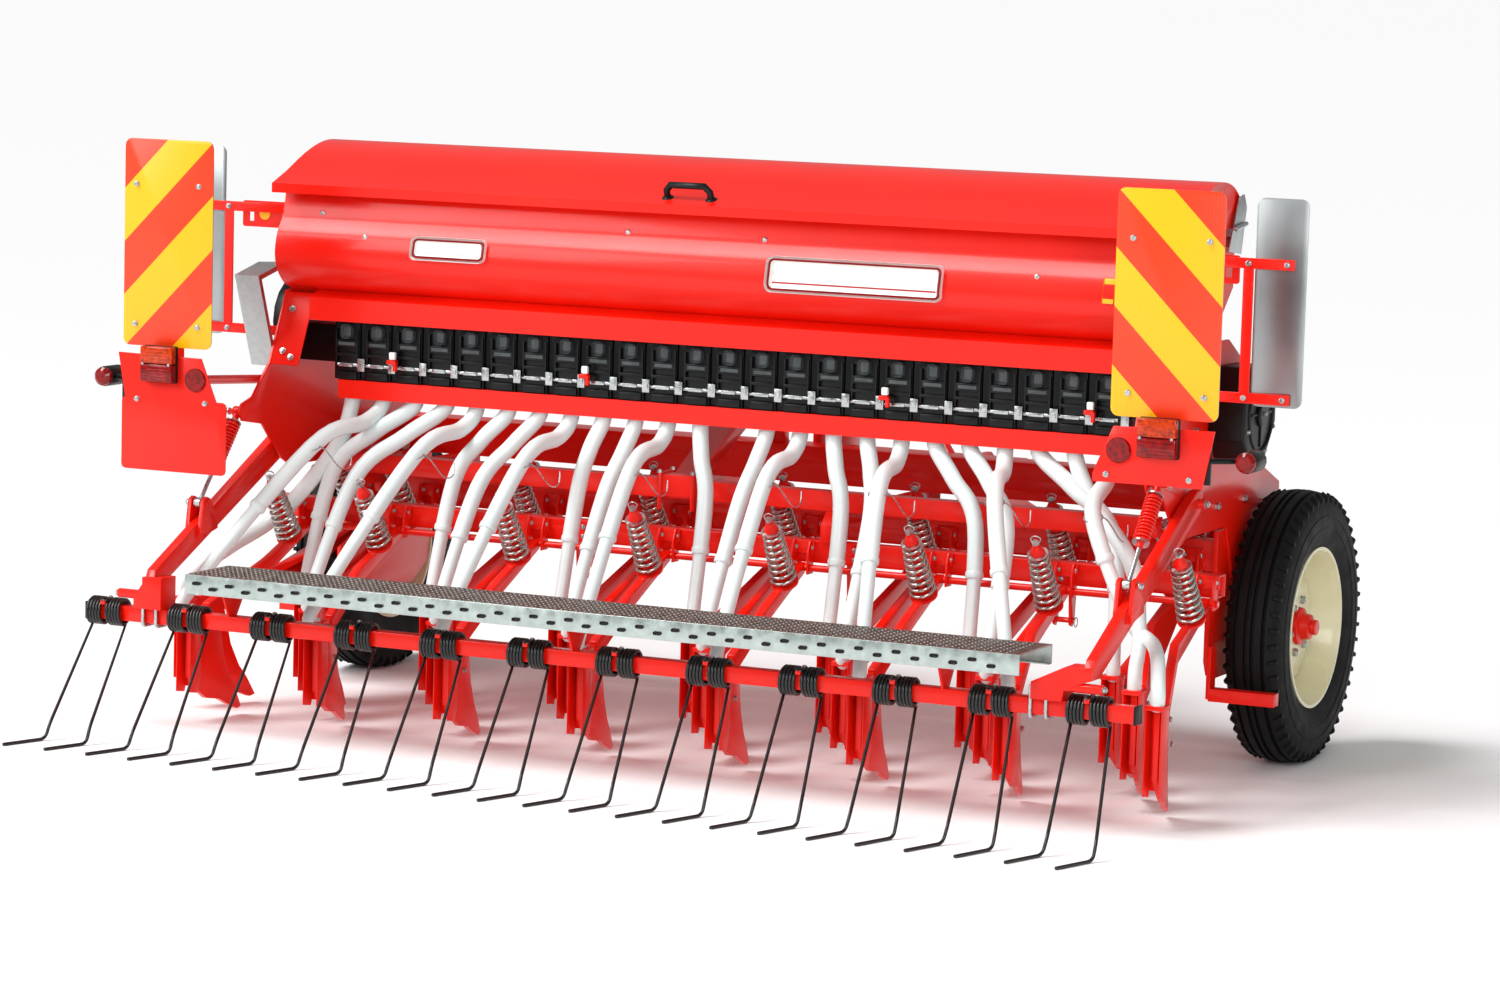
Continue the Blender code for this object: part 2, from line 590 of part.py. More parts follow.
# ---- drive --------------------------------------------------------------------------------
def gearbox():
    """Speed-setting gearbox on the right side plate, with its quadrant, lever and knob."""
    y0, y1, z0, z1, c = 0.060, 0.300, 0.822, 1.060, 0.055
    outline = ((y0 + c, z0), (y1 - 1.3 * c, z0), (y1, z0 + 1.6 * c), (y1, z1 - c), (y1 - c, z1), (y0 + c, z1),
               (y0, z1 - c), (y0, z0 + c))
    prism("gearbox", outline, PLATE_X + PLATE_T + GAP, 1.385, "X", BLACK)
    face = 1.385 + GAP
    blade = ((0.230, 1.020), (0.290, 1.020), (0.318, 1.150), (0.345, 1.215), (0.300, 1.238), (0.235, 1.225),
             (0.196, 1.170))
    plate = prism("quadrant", blade, face, face + 0.005)
    arm = sweep("arm", ((face + 0.012, 0.255, 1.050), (face + 0.012, 0.282, 1.180)), 0.007, 8)
    boss = sweep("boss", ((face + 0.003, 0.255, 1.050), (face + 0.020, 0.255, 1.050)), 0.016, 12)
    stem = sweep("stem", ((face + 0.003, 0.282, 1.180), (face + 0.036, 0.282, 1.180)), 0.006, 8)
    knob = sweep("knob", ((face + 0.030, 0.282, 1.180), (face + 0.054, 0.282, 1.180)), 0.021, 10)
    fuse("gear_quadrant", [plate, arm, boss, stem, knob], ZINC)


def left_drive():
    """Gear case on the left side plate and the bent guard over its rear."""
    outer = PLATE_X + PLATE_T + GAP
    case = ring_outline(0.010, 1.030, 0.120, 18)
    low = ((-0.105, 0.860), (0.080, 0.850), (0.128, 1.000), (-0.108, 1.000))
    drum = prism("drum", case, -1.338, -outer)
    leg = prism("leg", low, -1.334, -outer)
    fuse("drive_case_left", [drum, leg], BLACK)
    line = ((-0.177, 0.915), (-0.270, 1.163), (-0.148, 1.192), (0.020, 1.184))
    cover = prism("cover", folded(line, 0.003), -1.362, -outer)
    web = prism("web", folded(line, 0.014), -outer - 0.003, -outer)
    fuse("drive_guard_left", [cover, web], ZINC)


# ---- boards and lamps ---------------------------------------------------------------------
def board(name, xs, y, zs):
    prism(name, rounded(xs[0], zs[0], xs[1], zs[1], 0.020), y, y + 0.003, "Y", BOARD)


def rear_lights(side, hand):
    """Rear marker board, the bracket behind it, its lamp plate and its lamps."""
    xs, zs = span(side, BOARD_X, BOARD_X + BOARD_W), (BOARD_Z, BOARD_Z + BOARD_H)
    board(f"marker_board_rear_{hand}", xs, BOARD_Y, zs)
    front = BOARD_Y + 0.003 + GAP
    post = box("post", span(side, 1.345, 1.395), (front, front + 0.006), (0.860, 1.440))
    heights = ((1.026, 1.056), (1.395, 1.425))
    arms = [box("arm", span(side, 1.285, 1.500), (front, front + 0.006), z) for z in heights]
    lamp_sheet = ((1.274, 0.962), (1.530, 0.965), (1.504, 0.826), (1.225, 0.826), (1.225, 0.846))
    sheet = prism("sheet", [(side * x, z) for x, z in lamp_sheet], LAMP_Y, LAMP_Y + 0.004, "Y")
    spacer = box("spacer", span(side, 1.345, 1.395), (LAMP_Y + 0.002, front + 0.004), (0.880, 0.940))
    x = side * (PLATE_X + PLATE_T + GAP + 0.012)
    link = sweep("link", ((x, LAMP_Y + 0.002, 0.905), (x, -0.180, 0.880)), 0.0126, 8, None, math.pi / 8)
    pieces = [post, sheet, spacer, link] + arms
    if side < 0:
        flap = rounded(-1.518, 0.658, -1.196, 0.850, 0.012, 2)
        pieces.append(prism("flap", flap, LAMP_Y, LAMP_Y + 0.004, "Y"))
    fuse(f"board_bracket_{hand}", pieces, RED)
    shape = rounded(1.344, 0.893, 1.444, 0.989, 0.012, 2)
    lamp = [(side * x, z) for x, z in shape]
    prism(f"tail_lamp_{hand}", lamp, LAMP_Y - GAP - 0.032, LAMP_Y - GAP, "Y", LENS)
    face = LAMP_Y + 0.004 + GAP
    base = box("base", span(side, 1.498, 1.520), (face, face + 0.010), (0.836, 0.950))
    arm = sweep("arm", ((side * 1.515, face + 0.008, 0.893), (side * 1.590, -0.500, 0.893)), 0.007, 8)
    head = sweep("head", ((side * 1.598, -0.535, 0.893), (side * 1.598, -0.465, 0.893)), 0.027, 14)
    fuse(f"side_lamp_{hand}", [base, arm, head], BLACK)


def front_lights(side, hand):
    """Narrow marker board that faces forward, and its two arms from the hopper end and the side plate."""
    y = -0.1494
    board(f"marker_board_front_{hand}", span(side, 1.468, 1.600), y, (0.990, 1.500))
    back = y - GAP
    upper = box("upper", span(side, HOPPER_X + 0.0043 + GAP, 1.570), (back - 0.006, back), (1.326, 1.352))
    lower = box("lower", span(side, PLATE_X + PLATE_T + GAP, 1.570), (back - 0.006, back), (0.996, 1.022))
    post = box("post", span(side, 1.440, 1.466), (back - 0.006, back), (0.996, 1.352))
    fuse(f"front_board_arm_{hand}", [upper, lower, post], RED)


# ---- harrow -------------------------------------------------------------------------------
def ring_outline(y, z, radius, steps, start=0.0):
    angles = [math.tau * k / steps + start for k in range(steps)]
    return [(y + radius * math.cos(angle), z + radius * math.sin(angle)) for angle in angles]


def harrow_arm(side, hand):
    """Flat arm from the side plate down to the harrow bar, forked where its strut stands."""
    x0, x1 = ARM_X - 0.0125, ARM_X + 0.0125
    py, pz = PIVOT
    foot = (-0.735, 0.398)
    way = Vector((foot[0] - py, foot[1] - pz)).normalized()
    up = Vector((way.y, -way.x))
    corners = ((PIVOT, -0.034, 0.020), (PIVOT, 0.0, 0.034), (foot, 0.0, 0.026), (foot, 0.030, 0.0),
               (foot, 0.0, -0.026), (PIVOT, 0.0, -0.034), (PIVOT, -0.034, -0.020))
    bar = [tuple(Vector(place) + way * along + up * rise) for place, along, rise in corners]
    arm = prism("arm", bar, *span(side, x0, x1))
    low = HARROW_BAR[1] + BAR_SIDE / 2 + GAP
    if side > 0:
        wedge = ((1.165, low), (1.244, low), (1.250, 0.352), (x1, 0.376), (x1, 0.404), (1.250, 0.404),
                 (1.165, 0.362))
    else:
        wedge = ((-1.262, low), (-1.345, low), (-1.345, 0.350), (-x1, 0.385), (-x1, 0.404),
                 (-1.262, 0.404))
    shoe = prism("shoe", wedge, -0.772, -0.700, "Y")
    ends = (1.240, 1.345) if side > 0 else (-1.330, -1.395)
    stub = sweep("stub", ((ends[0], -0.761, 0.356), (ends[1], -0.761, 0.356)), 0.012, 10)
    ears = []
    fy, fz = STRUT_FOOT
    for low in (ARM_X - 0.0245, ARM_X + 0.0145):
        ear = ((fy + 0.055, fz - 0.048), (fy + 0.016, fz + 0.012), (fy, fz + 0.018), (fy - 0.016, fz + 0.010),
               (fy - 0.030, fz - 0.075), (fy + 0.040, fz - 0.060))
        ears.append(prism("ear", ear, *span(side, low, low + 0.010)))
    saddle = ((fy + 0.050, fz - 0.040), (fy + 0.055, fz - 0.070), (fy - 0.030, fz - 0.090),
              (fy - 0.028, fz - 0.060))
    web = prism("web", saddle, *span(side, ARM_X - 0.0245, ARM_X + 0.0245))
    pin = sweep("pin", ((side * (ARM_X - 0.030), fy, fz), (side * (ARM_X + 0.030), fy, fz)), 0.006, 10)
    made = fuse(f"harrow_arm_{hand}", [arm, shoe, stub, web, pin] + ears, RED)
    cut(made, [sweep("bore", ((side * (x0 - 0.01), py, pz), (side * (x1 + 0.01), py, pz)), 0.0126, 16)])


def strut(side, hand):
    """Spring strut between side plate and harrow arm: a sprung tube and the rod that slides in it."""
    top, foot = Vector((side * ARM_X, *STRUT_TOP)), Vector((side * ARM_X, *STRUT_FOOT))
    way = (foot - top).normalized()
    length = (foot - top).length
    head = prism("head", ring_outline(*STRUT_TOP, 0.0155, 14), *span(side, ARM_X - 0.010, ARM_X + 0.010))
    steps = ((0.012, 0.009), (0.034, 0.009), (0.036, 0.0145), (0.170, 0.0145), (0.172, 0.009), (0.186, 0.009))
    body = sweep("body", [top + way * h for h, _ in steps], [r for _, r in steps], 14)
    tube = fuse(f"strut_tube_{hand}", [head, body], RED)
    across = Vector((0.020, 0.0, 0.0))
    pin_bore = sweep("pin_bore", (top - across, top + across), 0.0086, 12)
    cut(tube, [pin_bore, sweep("rod_bore", (top + way * 0.070, top + way * 0.20), 0.0062, 12)])
    rod = sweep("rod", (top + way * 0.135, top + way * (length - 0.0135)), 0.0056, 12)
    eye = prism("eye", ring_outline(*STRUT_FOOT, 0.0145, 14), *span(side, ARM_X - 0.009, ARM_X + 0.009))
    made = fuse(f"strut_rod_{hand}", [rod, eye], ZINC)
    cut(made, [sweep("eye_bore", (foot - across, foot + across), 0.0095, 12)])
    hang(f"strut_axis_{hand}", top, (f"strut_tube_{hand}", f"strut_rod_{hand}"))


def harrow_bar():
    """Square bar with its coiled double tines and the three walkboard stands."""
    y, z = HARROW_BAR
    half = BAR_SIDE / 2
    pieces = [box("bar", (-1.500, 1.420), (y - half, y + half), (z - half, z + half))]
    for pair in range(TINES // 2):
        heels = [(2 * pair + k - (TINES - 1) / 2) * TINE_PITCH for k in (0, 1)]
        centre = sum(heels) / 2 - 0.070
        pieces.append(sweep("coil", ((centre - 0.053, y, z), (centre + 0.053, y, z)), COIL_R, 10))
        for heel, dx in zip(heels, (-0.046, 0.046)):
            path = ((centre + dx, y - 0.010, z - 0.020), (heel + 0.004, HEEL_Y + 0.010, 0.042),
                    (heel, HEEL_Y, WIRE_R), (heel - 0.040, TOE_Y, WIRE_R))
            pieces.append(sweep("tine", path, WIRE_R, 5, None, math.pi / 6))
    for x in (-1.070, -0.070, 0.930):
        pieces += walkboard_stand(x, z + half)
    fuse("harrow_bar", pieces, BLACK)


def walkboard_stand(x, low):
    """Bent stand that is welded to the bar and bolted under the walkboard."""
    y, high = HARROW_BAR[0], WALK_TOP - 0.003 - GAP
    outline = ((y - 0.018, low - 0.004), (y + 0.018, low - 0.004), (y + 0.095, high), (y - 0.070, high))
    web = prism("web", outline, x - 0.003, x + 0.003)
    return [web, box("head", (x - 0.045, x + 0.045), (y - 0.070, y + 0.095), (high - 0.005, high))]


def walkboard():
    """Galvanised C-section plank over the harrow bar."""
    y0, y1, top = -0.825, -0.614, WALK_TOP
    line = ((y1 - 0.020, top - 0.048), (y1, top - 0.048), (y1, top), (y0, top), (y0, top - 0.050),
            (y0 + 0.015, top - 0.050))
    prism("walkboard", folded(line[::-1], 0.003), -1.156, 1.156, "X", ZINC)


def build():
    main_frame()
    pressure_beam()
    headstock()
    for maker in (side_plate, wheel_leg, wheel, hopper_end, rear_lights, front_lights, harrow_arm, strut):
        both(maker)
    hopper_walls()
    hopper_floor()
    hopper_apron()
    lid()
    lid_latch()
    metering_units()
    metering_shaft()
    seed_tray()
    seed_tubes()
    coulter_ranks()
    gearbox()
    left_drive()
    harrow_bar()
    walkboard()
    hang("harrow_axis", (0.0, *PIVOT), ("harrow_arm_left", "harrow_arm_right", "harrow_bar", "walkboard"))


build()
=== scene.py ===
"""Mounted seed drill: hopper, metering units, seed tubes, three ranks of hoe coulters and a harrow."""

import math

import bpy
from mathutils import Matrix, Vector


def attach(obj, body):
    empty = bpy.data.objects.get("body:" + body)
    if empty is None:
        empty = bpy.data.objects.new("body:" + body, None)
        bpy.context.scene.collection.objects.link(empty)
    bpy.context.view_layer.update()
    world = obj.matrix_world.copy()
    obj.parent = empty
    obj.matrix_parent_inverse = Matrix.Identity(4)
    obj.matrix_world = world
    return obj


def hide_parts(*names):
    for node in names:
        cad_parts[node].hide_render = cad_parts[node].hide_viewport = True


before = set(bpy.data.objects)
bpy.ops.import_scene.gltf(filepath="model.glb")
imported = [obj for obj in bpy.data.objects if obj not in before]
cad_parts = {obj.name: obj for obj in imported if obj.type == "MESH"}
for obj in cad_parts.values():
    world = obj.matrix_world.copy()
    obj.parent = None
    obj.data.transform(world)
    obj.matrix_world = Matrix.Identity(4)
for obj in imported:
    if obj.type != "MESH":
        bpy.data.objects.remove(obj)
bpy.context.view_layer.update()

# ---- Floor, light and camera ----------------------------------------------------------------
# A plain pale floor under soft boxes: the large one stands to the machine's left, so that the
# shadows fall softly to its right.
def linear(colour):
    """An sRGB hex value as the linear colour that a shader works in."""
    parts = [int(colour[i:i + 2], 16) / 255 for i in (1, 3, 5)]
    return tuple(p / 12.92 if p <= 0.04045 else ((p + 0.055) / 1.055) ** 2.4 for p in parts) + (1.0,)


bpy.context.scene.view_settings.view_transform = "Standard"

studio = bpy.data.worlds.new("studio")
studio.use_nodes = True
studio.node_tree.nodes["Background"].inputs["Color"].default_value = linear("#ffffff")
studio.node_tree.nodes["Background"].inputs["Strength"].default_value = 0.36
bpy.context.scene.world = studio

# Smooth white studio floor, matt, so that only the soft shadows show on it.
bpy.ops.mesh.primitive_plane_add(size=900)
floor = bpy.context.object
floor.name = "studio_floor"
lino = bpy.data.materials.new("pale_floor")
lino.use_nodes = True
lino.node_tree.nodes["Principled BSDF"].inputs["Base Color"].default_value = linear("#ffffff")
lino.node_tree.nodes["Principled BSDF"].inputs["Roughness"].default_value = 0.9
floor.data.materials.append(lino)

bpy.ops.object.light_add(type="SUN", location=(-5.0, -5.0, 8.0))
sun = bpy.context.object
sun.name = "window_light"
sun.data.energy = 2.5
sun.data.angle = math.radians(28)
sun.rotation_euler = Vector((0.55, 0.50, -1.0)).to_track_quat("-Z", "Y").to_euler()
machine_middle = Vector((0.0, 0.0, 0.7))
soft_boxes = (("left_box", (-5.0, -6.0, 4.5), 3.0, 210), ("rear_box", (4.5, -8.0, 3.5), 3.5, 250))
for name, place, size, power in soft_boxes:
    bpy.ops.object.light_add(type="AREA", location=place)
    lamp = bpy.context.object
    lamp.name = name
    lamp.data.size = size
    lamp.data.energy = power
    lamp.rotation_euler = (machine_middle - Vector(place)).to_track_quat("-Z", "Y").to_euler()

yaw, pitch, roll = (math.radians(a) for a in (25.18, 6.77, 1.61))
ahead = Vector((-math.sin(yaw) * math.cos(pitch), math.cos(yaw) * math.cos(pitch), -math.sin(pitch)))
level = Vector((math.cos(yaw), math.sin(yaw), 0.0))
above = level.cross(ahead)
right = level * math.cos(roll) + above * math.sin(roll)
up = above * math.cos(roll) - level * math.sin(roll)
bpy.ops.object.camera_add()
camera = bpy.context.object
camera.matrix_world = Matrix((right, up, -ahead)).transposed().to_4x4()
camera.location = (5.089, -10.707, 2.041)
camera.data.lens = 109.34
camera.data.sensor_width = 36.0
camera.data.clip_end = 2000.0
bpy.context.scene.camera = camera


# ---- Frame: main beam, coulter beams, side plates and wheel legs -------------------------------
# Welded steel box beams and flame-cut plates in glossy red two-coat enamel, sprayed over primer,
# which leaves a faint orange peel. Bolted together with zinc-plated hexagon bolts.
def add(material, kind, settings, inputs):
    """A node with its settings, and its sockets given values or linked as (node, output)."""
    made = material.node_tree.nodes.new("ShaderNode" + kind)
    for name, value in settings.items():
        setattr(made, name, value)
    for socket, value in inputs.items():
        if isinstance(value, tuple) and isinstance(value[0], bpy.types.Node):
            material.node_tree.links.new(value[0].outputs[value[1]], made.inputs[socket])
        else:
            made.inputs[socket].default_value = value
    return made


def pick(piece):
    """Leaves only this piece selected."""
    bpy.ops.object.select_all(action="DESELECT")
    piece.select_set(True)
    bpy.context.view_layer.objects.active = piece


def finish(name, light, dark, patch, grain, depth, rough, **shading):
    """A coating or plastic that drifts between two shades over patch metres, with a grain that size."""
    made = bpy.data.materials.new(name)
    made.use_nodes = True
    shader = made.node_tree.nodes["Principled BSDF"]
    for socket, value in shading.items():
        shader.inputs[socket.replace("_", " ")].default_value = value
    where = add(made, "TexCoord", {}, {})
    drift = add(made, "TexNoise", {}, {"Vector": (where, "Object"), "Scale": 1.0 / patch, "Detail": 3.0})
    spread = add(made, "MapRange", {}, {0: (drift, 0), 1: 0.30, 2: 0.70, 3: 0.0, 4: 1.0})
    shade = add(made, "Mix", {"data_type": "RGBA"}, {0: (spread, 0), 6: linear(dark), 7: linear(light)})
    skin = add(made, "TexNoise", {}, {"Vector": (where, "Object"), "Scale": 1.0 / grain, "Detail": 2.0})
    peel = add(made, "Bump", {}, {"Height": (skin, 0), "Distance": depth, "Strength": 1.0})
    sheen = add(made, "MapRange", {}, {0: (drift, 0), 1: 0.25, 2: 0.75, 3: rough[0], 4: rough[1]})
    made.node_tree.links.new(shade.outputs[2], shader.inputs["Base Color"])
    made.node_tree.links.new(peel.outputs[0], shader.inputs["Normal"])
    made.node_tree.links.new(sheen.outputs[0], shader.inputs["Roughness"])
    return made


# Red enamel: even and glossy, under a clear hard gloss, with 2 mm orange peel only just deep enough
# to soften reflections.
red_enamel = finish("red_enamel", "#f21b07", "#e41405", 0.35, 0.002, 0.00003, (0.28, 0.38),
                    Coat_Weight=0.15, Coat_Roughness=0.08, Specular_IOR_Level=0.30)


def dress(node, body, material, bevel=0.0, smooth=32):
    """A merged copy of a CAD piece with its sharp edges rounded, which then stands for it."""
    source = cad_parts[node]
    piece = source.copy()
    piece.data = source.data.copy()
    piece.parent = None
    for key in list(piece.keys()):
        del piece[key]
    bpy.context.scene.collection.objects.link(piece)
    piece.name = node + "_shell"
    pick(piece)
    bpy.ops.object.mode_set(mode="EDIT")
    bpy.ops.mesh.select_all(action="SELECT")
    bpy.ops.mesh.remove_doubles(threshold=0.00001)
    bpy.ops.mesh.dissolve_limited(angle_limit=math.radians(0.5))
    bpy.ops.object.mode_set(mode="OBJECT")
    if bevel:
        edge = piece.modifiers.new("rounded_edges", "BEVEL")
        edge.width = bevel
        edge.segments = 2
        edge.angle_limit = math.radians(40)
        bpy.ops.object.modifier_apply(modifier=edge.name)
    bpy.ops.object.shade_smooth_by_angle(angle=math.radians(smooth))
    piece.data.materials.clear()
    piece.data.materials.append(material)
    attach(piece, body)
    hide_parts(node)
    return piece


for node in ("main_frame", "pressure_beam", "headstock", "wheel_leg_left", "wheel_leg_right",
             "side_plate_left", "side_plate_right"):
    dress(node, "machine", red_enamel, 0.0015)


def settle(piece, name, body, material, smooth=35):
    """Names, shades and paints a finished piece, puts its place into its mesh and hangs it on a body."""
    pick(piece)
    bpy.ops.object.transform_apply(location=True, rotation=True, scale=True)
    bpy.ops.object.shade_smooth_by_angle(angle=math.radians(smooth))
    piece.name = name
    piece.data.name = name
    piece.data.materials.clear()
    piece.data.materials.append(material)
    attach(piece, body)
    return piece


def gather(pieces):
    """Several pieces as one."""
    bpy.ops.object.select_all(action="DESELECT")
    for piece in pieces:
        piece.select_set(True)
    bpy.context.view_layer.objects.active = pieces[0]
    if len(pieces) > 1:
        bpy.ops.object.join()
    return bpy.context.object


def repeat(pattern, places):
    """A copy of the pattern, with its own mesh, at each place, all gathered into one."""
    bpy.context.view_layer.update()
    copies = []
    for place in places:
        copy = pattern.copy()
        copy.data = pattern.data.copy()
        bpy.context.scene.collection.objects.link(copy)
        copy.matrix_world = place @ pattern.matrix_world
        copies.append(copy)
    bpy.data.objects.remove(pattern)
    return gather(copies)


def facing(place, way):
    """The place of a fastener whose head stands out along this way."""
    return Matrix.Translation(place) @ Vector(way).to_track_quat("Z", "Y").to_matrix().to_4x4()


def hex_bolt(size):
    """Hexagon head on its washer, chamfered on top, with the bolt's end inside it."""
    bpy.ops.mesh.primitive_cylinder_add(vertices=16, radius=size, depth=size * 0.16,
                                        location=(0, 0, size * 0.08))
    washer = bpy.context.object
    bpy.ops.mesh.primitive_cylinder_add(vertices=6, radius=size * 0.92, depth=size * 0.66,
                                        location=(0, 0, size * 0.48))
    head = bpy.context.object
    bpy.ops.object.mode_set(mode="EDIT")
    bpy.ops.mesh.select_all(action="DESELECT")
    bpy.ops.object.mode_set(mode="OBJECT")
    for face in head.data.polygons:
        face.select = face.normal.z > 0.9
    bpy.ops.object.mode_set(mode="EDIT")
    bpy.ops.mesh.inset(thickness=size * 0.12)
    bpy.ops.transform.translate(value=(0, 0, size * 0.07))
    bpy.ops.mesh.inset(thickness=size * 0.22)
    bpy.ops.mesh.extrude_region_move(TRANSFORM_OT_translate={"value": (0, 0, size * 0.22)})
    bpy.ops.object.mode_set(mode="OBJECT")
    return gather([washer, head])


# Bright zinc plating on steel fasteners: pale grey, slightly cloudy, with fine draw marks.
bright_zinc = finish("bright_zinc", "#cfd2d2", "#a9adae", 0.012, 0.0012, 0.00004, (0.22, 0.42), Metallic=1.0)

# Bolts on the outer faces of the side plates, at (Y, Z), then on their rear flanges, which lean, and
# on the three clevises of the rear beam.
plate_bolts = ((-0.105, 0.862), (-0.035, 0.905), (-0.100, 1.020), (-0.045, 1.075), (0.300, 0.905),
               (0.400, 0.930), (-0.300, 0.808), (0.150, 0.700), (0.360, 0.700), (0.540, 0.666),
               (0.600, 0.666), (0.420, 0.560), (0.500, 0.560))
spots = [facing((side * 1.2877, y, z), (side, 0, 0)) for side in (-1, 1) for y, z in plate_bolts]
settle(repeat(hex_bolt(0.011), spots), "side_plate_bolts", "machine", bright_zinc)
flange_lean = 0.4463
spots = [facing((side * x, -0.2148 + (z - 0.925) * flange_lean - 0.0006, z), (0, -0.913, 0.408))
         for side in (-1, 1) for x, z in ((1.250, 0.960), (1.250, 1.070), (1.222, 0.945))]
settle(repeat(hex_bolt(0.009), spots), "flange_bolts", "machine", bright_zinc)
spots = [facing((x, -0.0906, z), (0, -1, 0)) for x in (-0.385, 0.400, 0.968) for z in (0.515, 0.540)]
settle(repeat(hex_bolt(0.007), spots), "clevis_bolts", "machine", bright_zinc)


# ---- Land wheels --------------------------------------------------------------------------------
# Ribbed 6.00-16 tyres with short side lugs on dished cream steel rims, each held by six nuts on a
# red hub. Moulded rubber, matt and slightly grey where it has been handled.
def turned(outline, centre, steps):
    """A closed outline of (X, radius), spun once round the line through the centre along X."""
    bpy.ops.mesh.primitive_circle_add(vertices=len(outline))
    ring = bpy.context.object
    for vertex, (x, radius) in zip(ring.data.vertices, outline):
        vertex.co = (x, centre[1], centre[2] + radius)
    bpy.ops.object.mode_set(mode="EDIT")
    bpy.ops.mesh.select_all(action="SELECT")
    bpy.ops.mesh.spin(steps=steps, angle=math.tau, center=centre, axis=(1, 0, 0))
    bpy.ops.mesh.select_all(action="SELECT")
    bpy.ops.mesh.remove_doubles(threshold=0.00001)
    bpy.ops.mesh.normals_make_consistent(inside=False)
    bpy.ops.object.mode_set(mode="OBJECT")
    return ring


# Tyre rubber: nearly black and matt, its mould grain drawn at 1.6 mm so that it shows.
tyre_rubber = finish("tyre_rubber", "#0a0b0c", "#040505", 0.05, 0.0016, 0.00025, (0.55, 0.75),
                     Specular_IOR_Level=0.25)
# Cream rim enamel: a warm, even satin with a faint orange peel.
cream_enamel = finish("cream_enamel", "#e9e3bd", "#ded7ab", 0.20, 0.002, 0.00004, (0.22, 0.34),
                      Coat_Weight=0.3)

# Half of the tyre's section, as (X from its middle, radius): sidewall, shoulder, grooves and ribs.
tread = [(0.058, 0.205), (0.070, 0.235), (0.0770, 0.268), (0.0745, 0.305), (0.0700, 0.326),
         (0.0640, 0.338), (0.0560, 0.346), (0.0420, 0.3515), (0.0405, 0.3430), (0.0330, 0.3430),
         (0.0315, 0.3535), (0.0140, 0.3560), (0.0125, 0.3470), (0.0050, 0.3470), (0.0035, 0.3560)]
wheel_x, axle_y, axle_z = 1.375, 0.540, 0.356
lugs_round = 52
section = tread + [(-x, r) for x, r in reversed(tread)] + [(-0.040, 0.200), (0.040, 0.200)]
for side, hand in ((-1, "left"), (1, "right")):
    hub = (side * wheel_x, axle_y, axle_z)
    body = "wheel_" + hand
    carcass = turned([(hub[0] + x, r) for x, r in section], hub, 96)
    bpy.ops.mesh.primitive_cube_add(size=1.0)
    lug = bpy.context.object
    lug.scale = (0.030, 0.013, 0.020)
    pick(lug)
    bpy.ops.object.transform_apply(scale=True)
    for vertex in lug.data.vertices:
        if vertex.co.z > 0:
            vertex.co.y *= 0.72
            vertex.co.x = vertex.co.x * 0.72 - 0.004
        else:
            vertex.co.x += 0.003
    edge = lug.modifiers.new("moulded_edge", "BEVEL")
    edge.width = 0.0015
    edge.segments = 2
    bpy.ops.object.modifier_apply(modifier=edge.name)
    around = []
    for k in range(lugs_round):
        for end in (-1, 1):
            angle = math.tau * (k + 0.25 * end) / lugs_round
            tilt = Matrix.Translation((end * 0.0610, 0, 0.3375)) @ Matrix.Rotation(end * 0.62, 4, "Y")
            mirror = Matrix.Scale(end, 4, (1, 0, 0))
            around.append(Matrix.Translation(hub) @ Matrix.Rotation(angle, 4, "X") @ tilt @ mirror)
    lugs = repeat(lug, around)
    pick(lugs)
    bpy.ops.object.mode_set(mode="EDIT")
    bpy.ops.mesh.select_all(action="SELECT")
    bpy.ops.mesh.normals_make_consistent(inside=False)
    bpy.ops.object.mode_set(mode="OBJECT")
    tyre = settle(gather([carcass, lugs]), "tread_" + hand, body, tyre_rubber)
    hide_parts("tyre_" + hand)
    rings = []
    for radius in (0.262, 0.292):
        bpy.ops.mesh.primitive_torus_add(major_radius=radius, minor_radius=0.0016, major_segments=72,
                                         minor_segments=6, rotation=(0, math.pi / 2, 0),
                                         location=(hub[0] + side * 0.0755, hub[1], hub[2]))
        rings.append(bpy.context.object)
    settle(gather(rings), "sidewall_rings_" + hand, body, tyre_rubber)
    dish = [(0.064, 0.2105), (0.064, 0.202), (0.052, 0.197), (0.040, 0.190), (-0.006, 0.185),
            (-0.014, 0.178), (-0.012, 0.160), (0.004, 0.135), (0.012, 0.100), (0.013, 0.048),
            (0.009, 0.048), (0.008, 0.098), (0.000, 0.133), (-0.016, 0.158), (-0.019, 0.180),
            (-0.010, 0.190), (-0.040, 0.192), (-0.052, 0.199), (-0.064, 0.203), (-0.064, 0.2105)]
    disc = turned([(hub[0] + side * x, r) for x, r in dish], hub, 64)
    disc = settle(disc, "disc_" + hand, body, cream_enamel)
    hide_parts("rim_" + hand)
    cap = [(0.018, 0.0455), (0.0135, 0.050), (0.024, 0.048), (0.028, 0.036), (0.048, 0.032), (0.052, 0.022),
           (0.052, 0.0205), (-0.052, 0.0205), (-0.052, 0.0455)]
    cap = turned([(hub[0] + side * x, r) for x, r in cap], hub, 32)
    settle(cap, "hub_" + hand, body, red_enamel)
    nut_circle = 0.070
    nuts = [facing((hub[0] + side * 0.0125, hub[1] + nut_circle * math.cos(a),
                    hub[2] + nut_circle * math.sin(a)), (side, 0, 0))
            for a in (math.tau * k / 6 + 0.2 for k in range(6))]
    settle(repeat(hex_bolt(0.0115), nuts), "wheel_nuts_" + hand, body, bright_zinc)
    bpy.ops.mesh.primitive_cone_add(vertices=12, radius1=0.0055, radius2=0.0035, depth=0.034,
                                    location=(hub[0] + side * 0.010, hub[1] - 0.128, hub[2] + 0.125),
                                    rotation=(0, side * 1.1, 0))
    settle(bpy.context.object, "valve_" + hand, body, tyre_rubber)


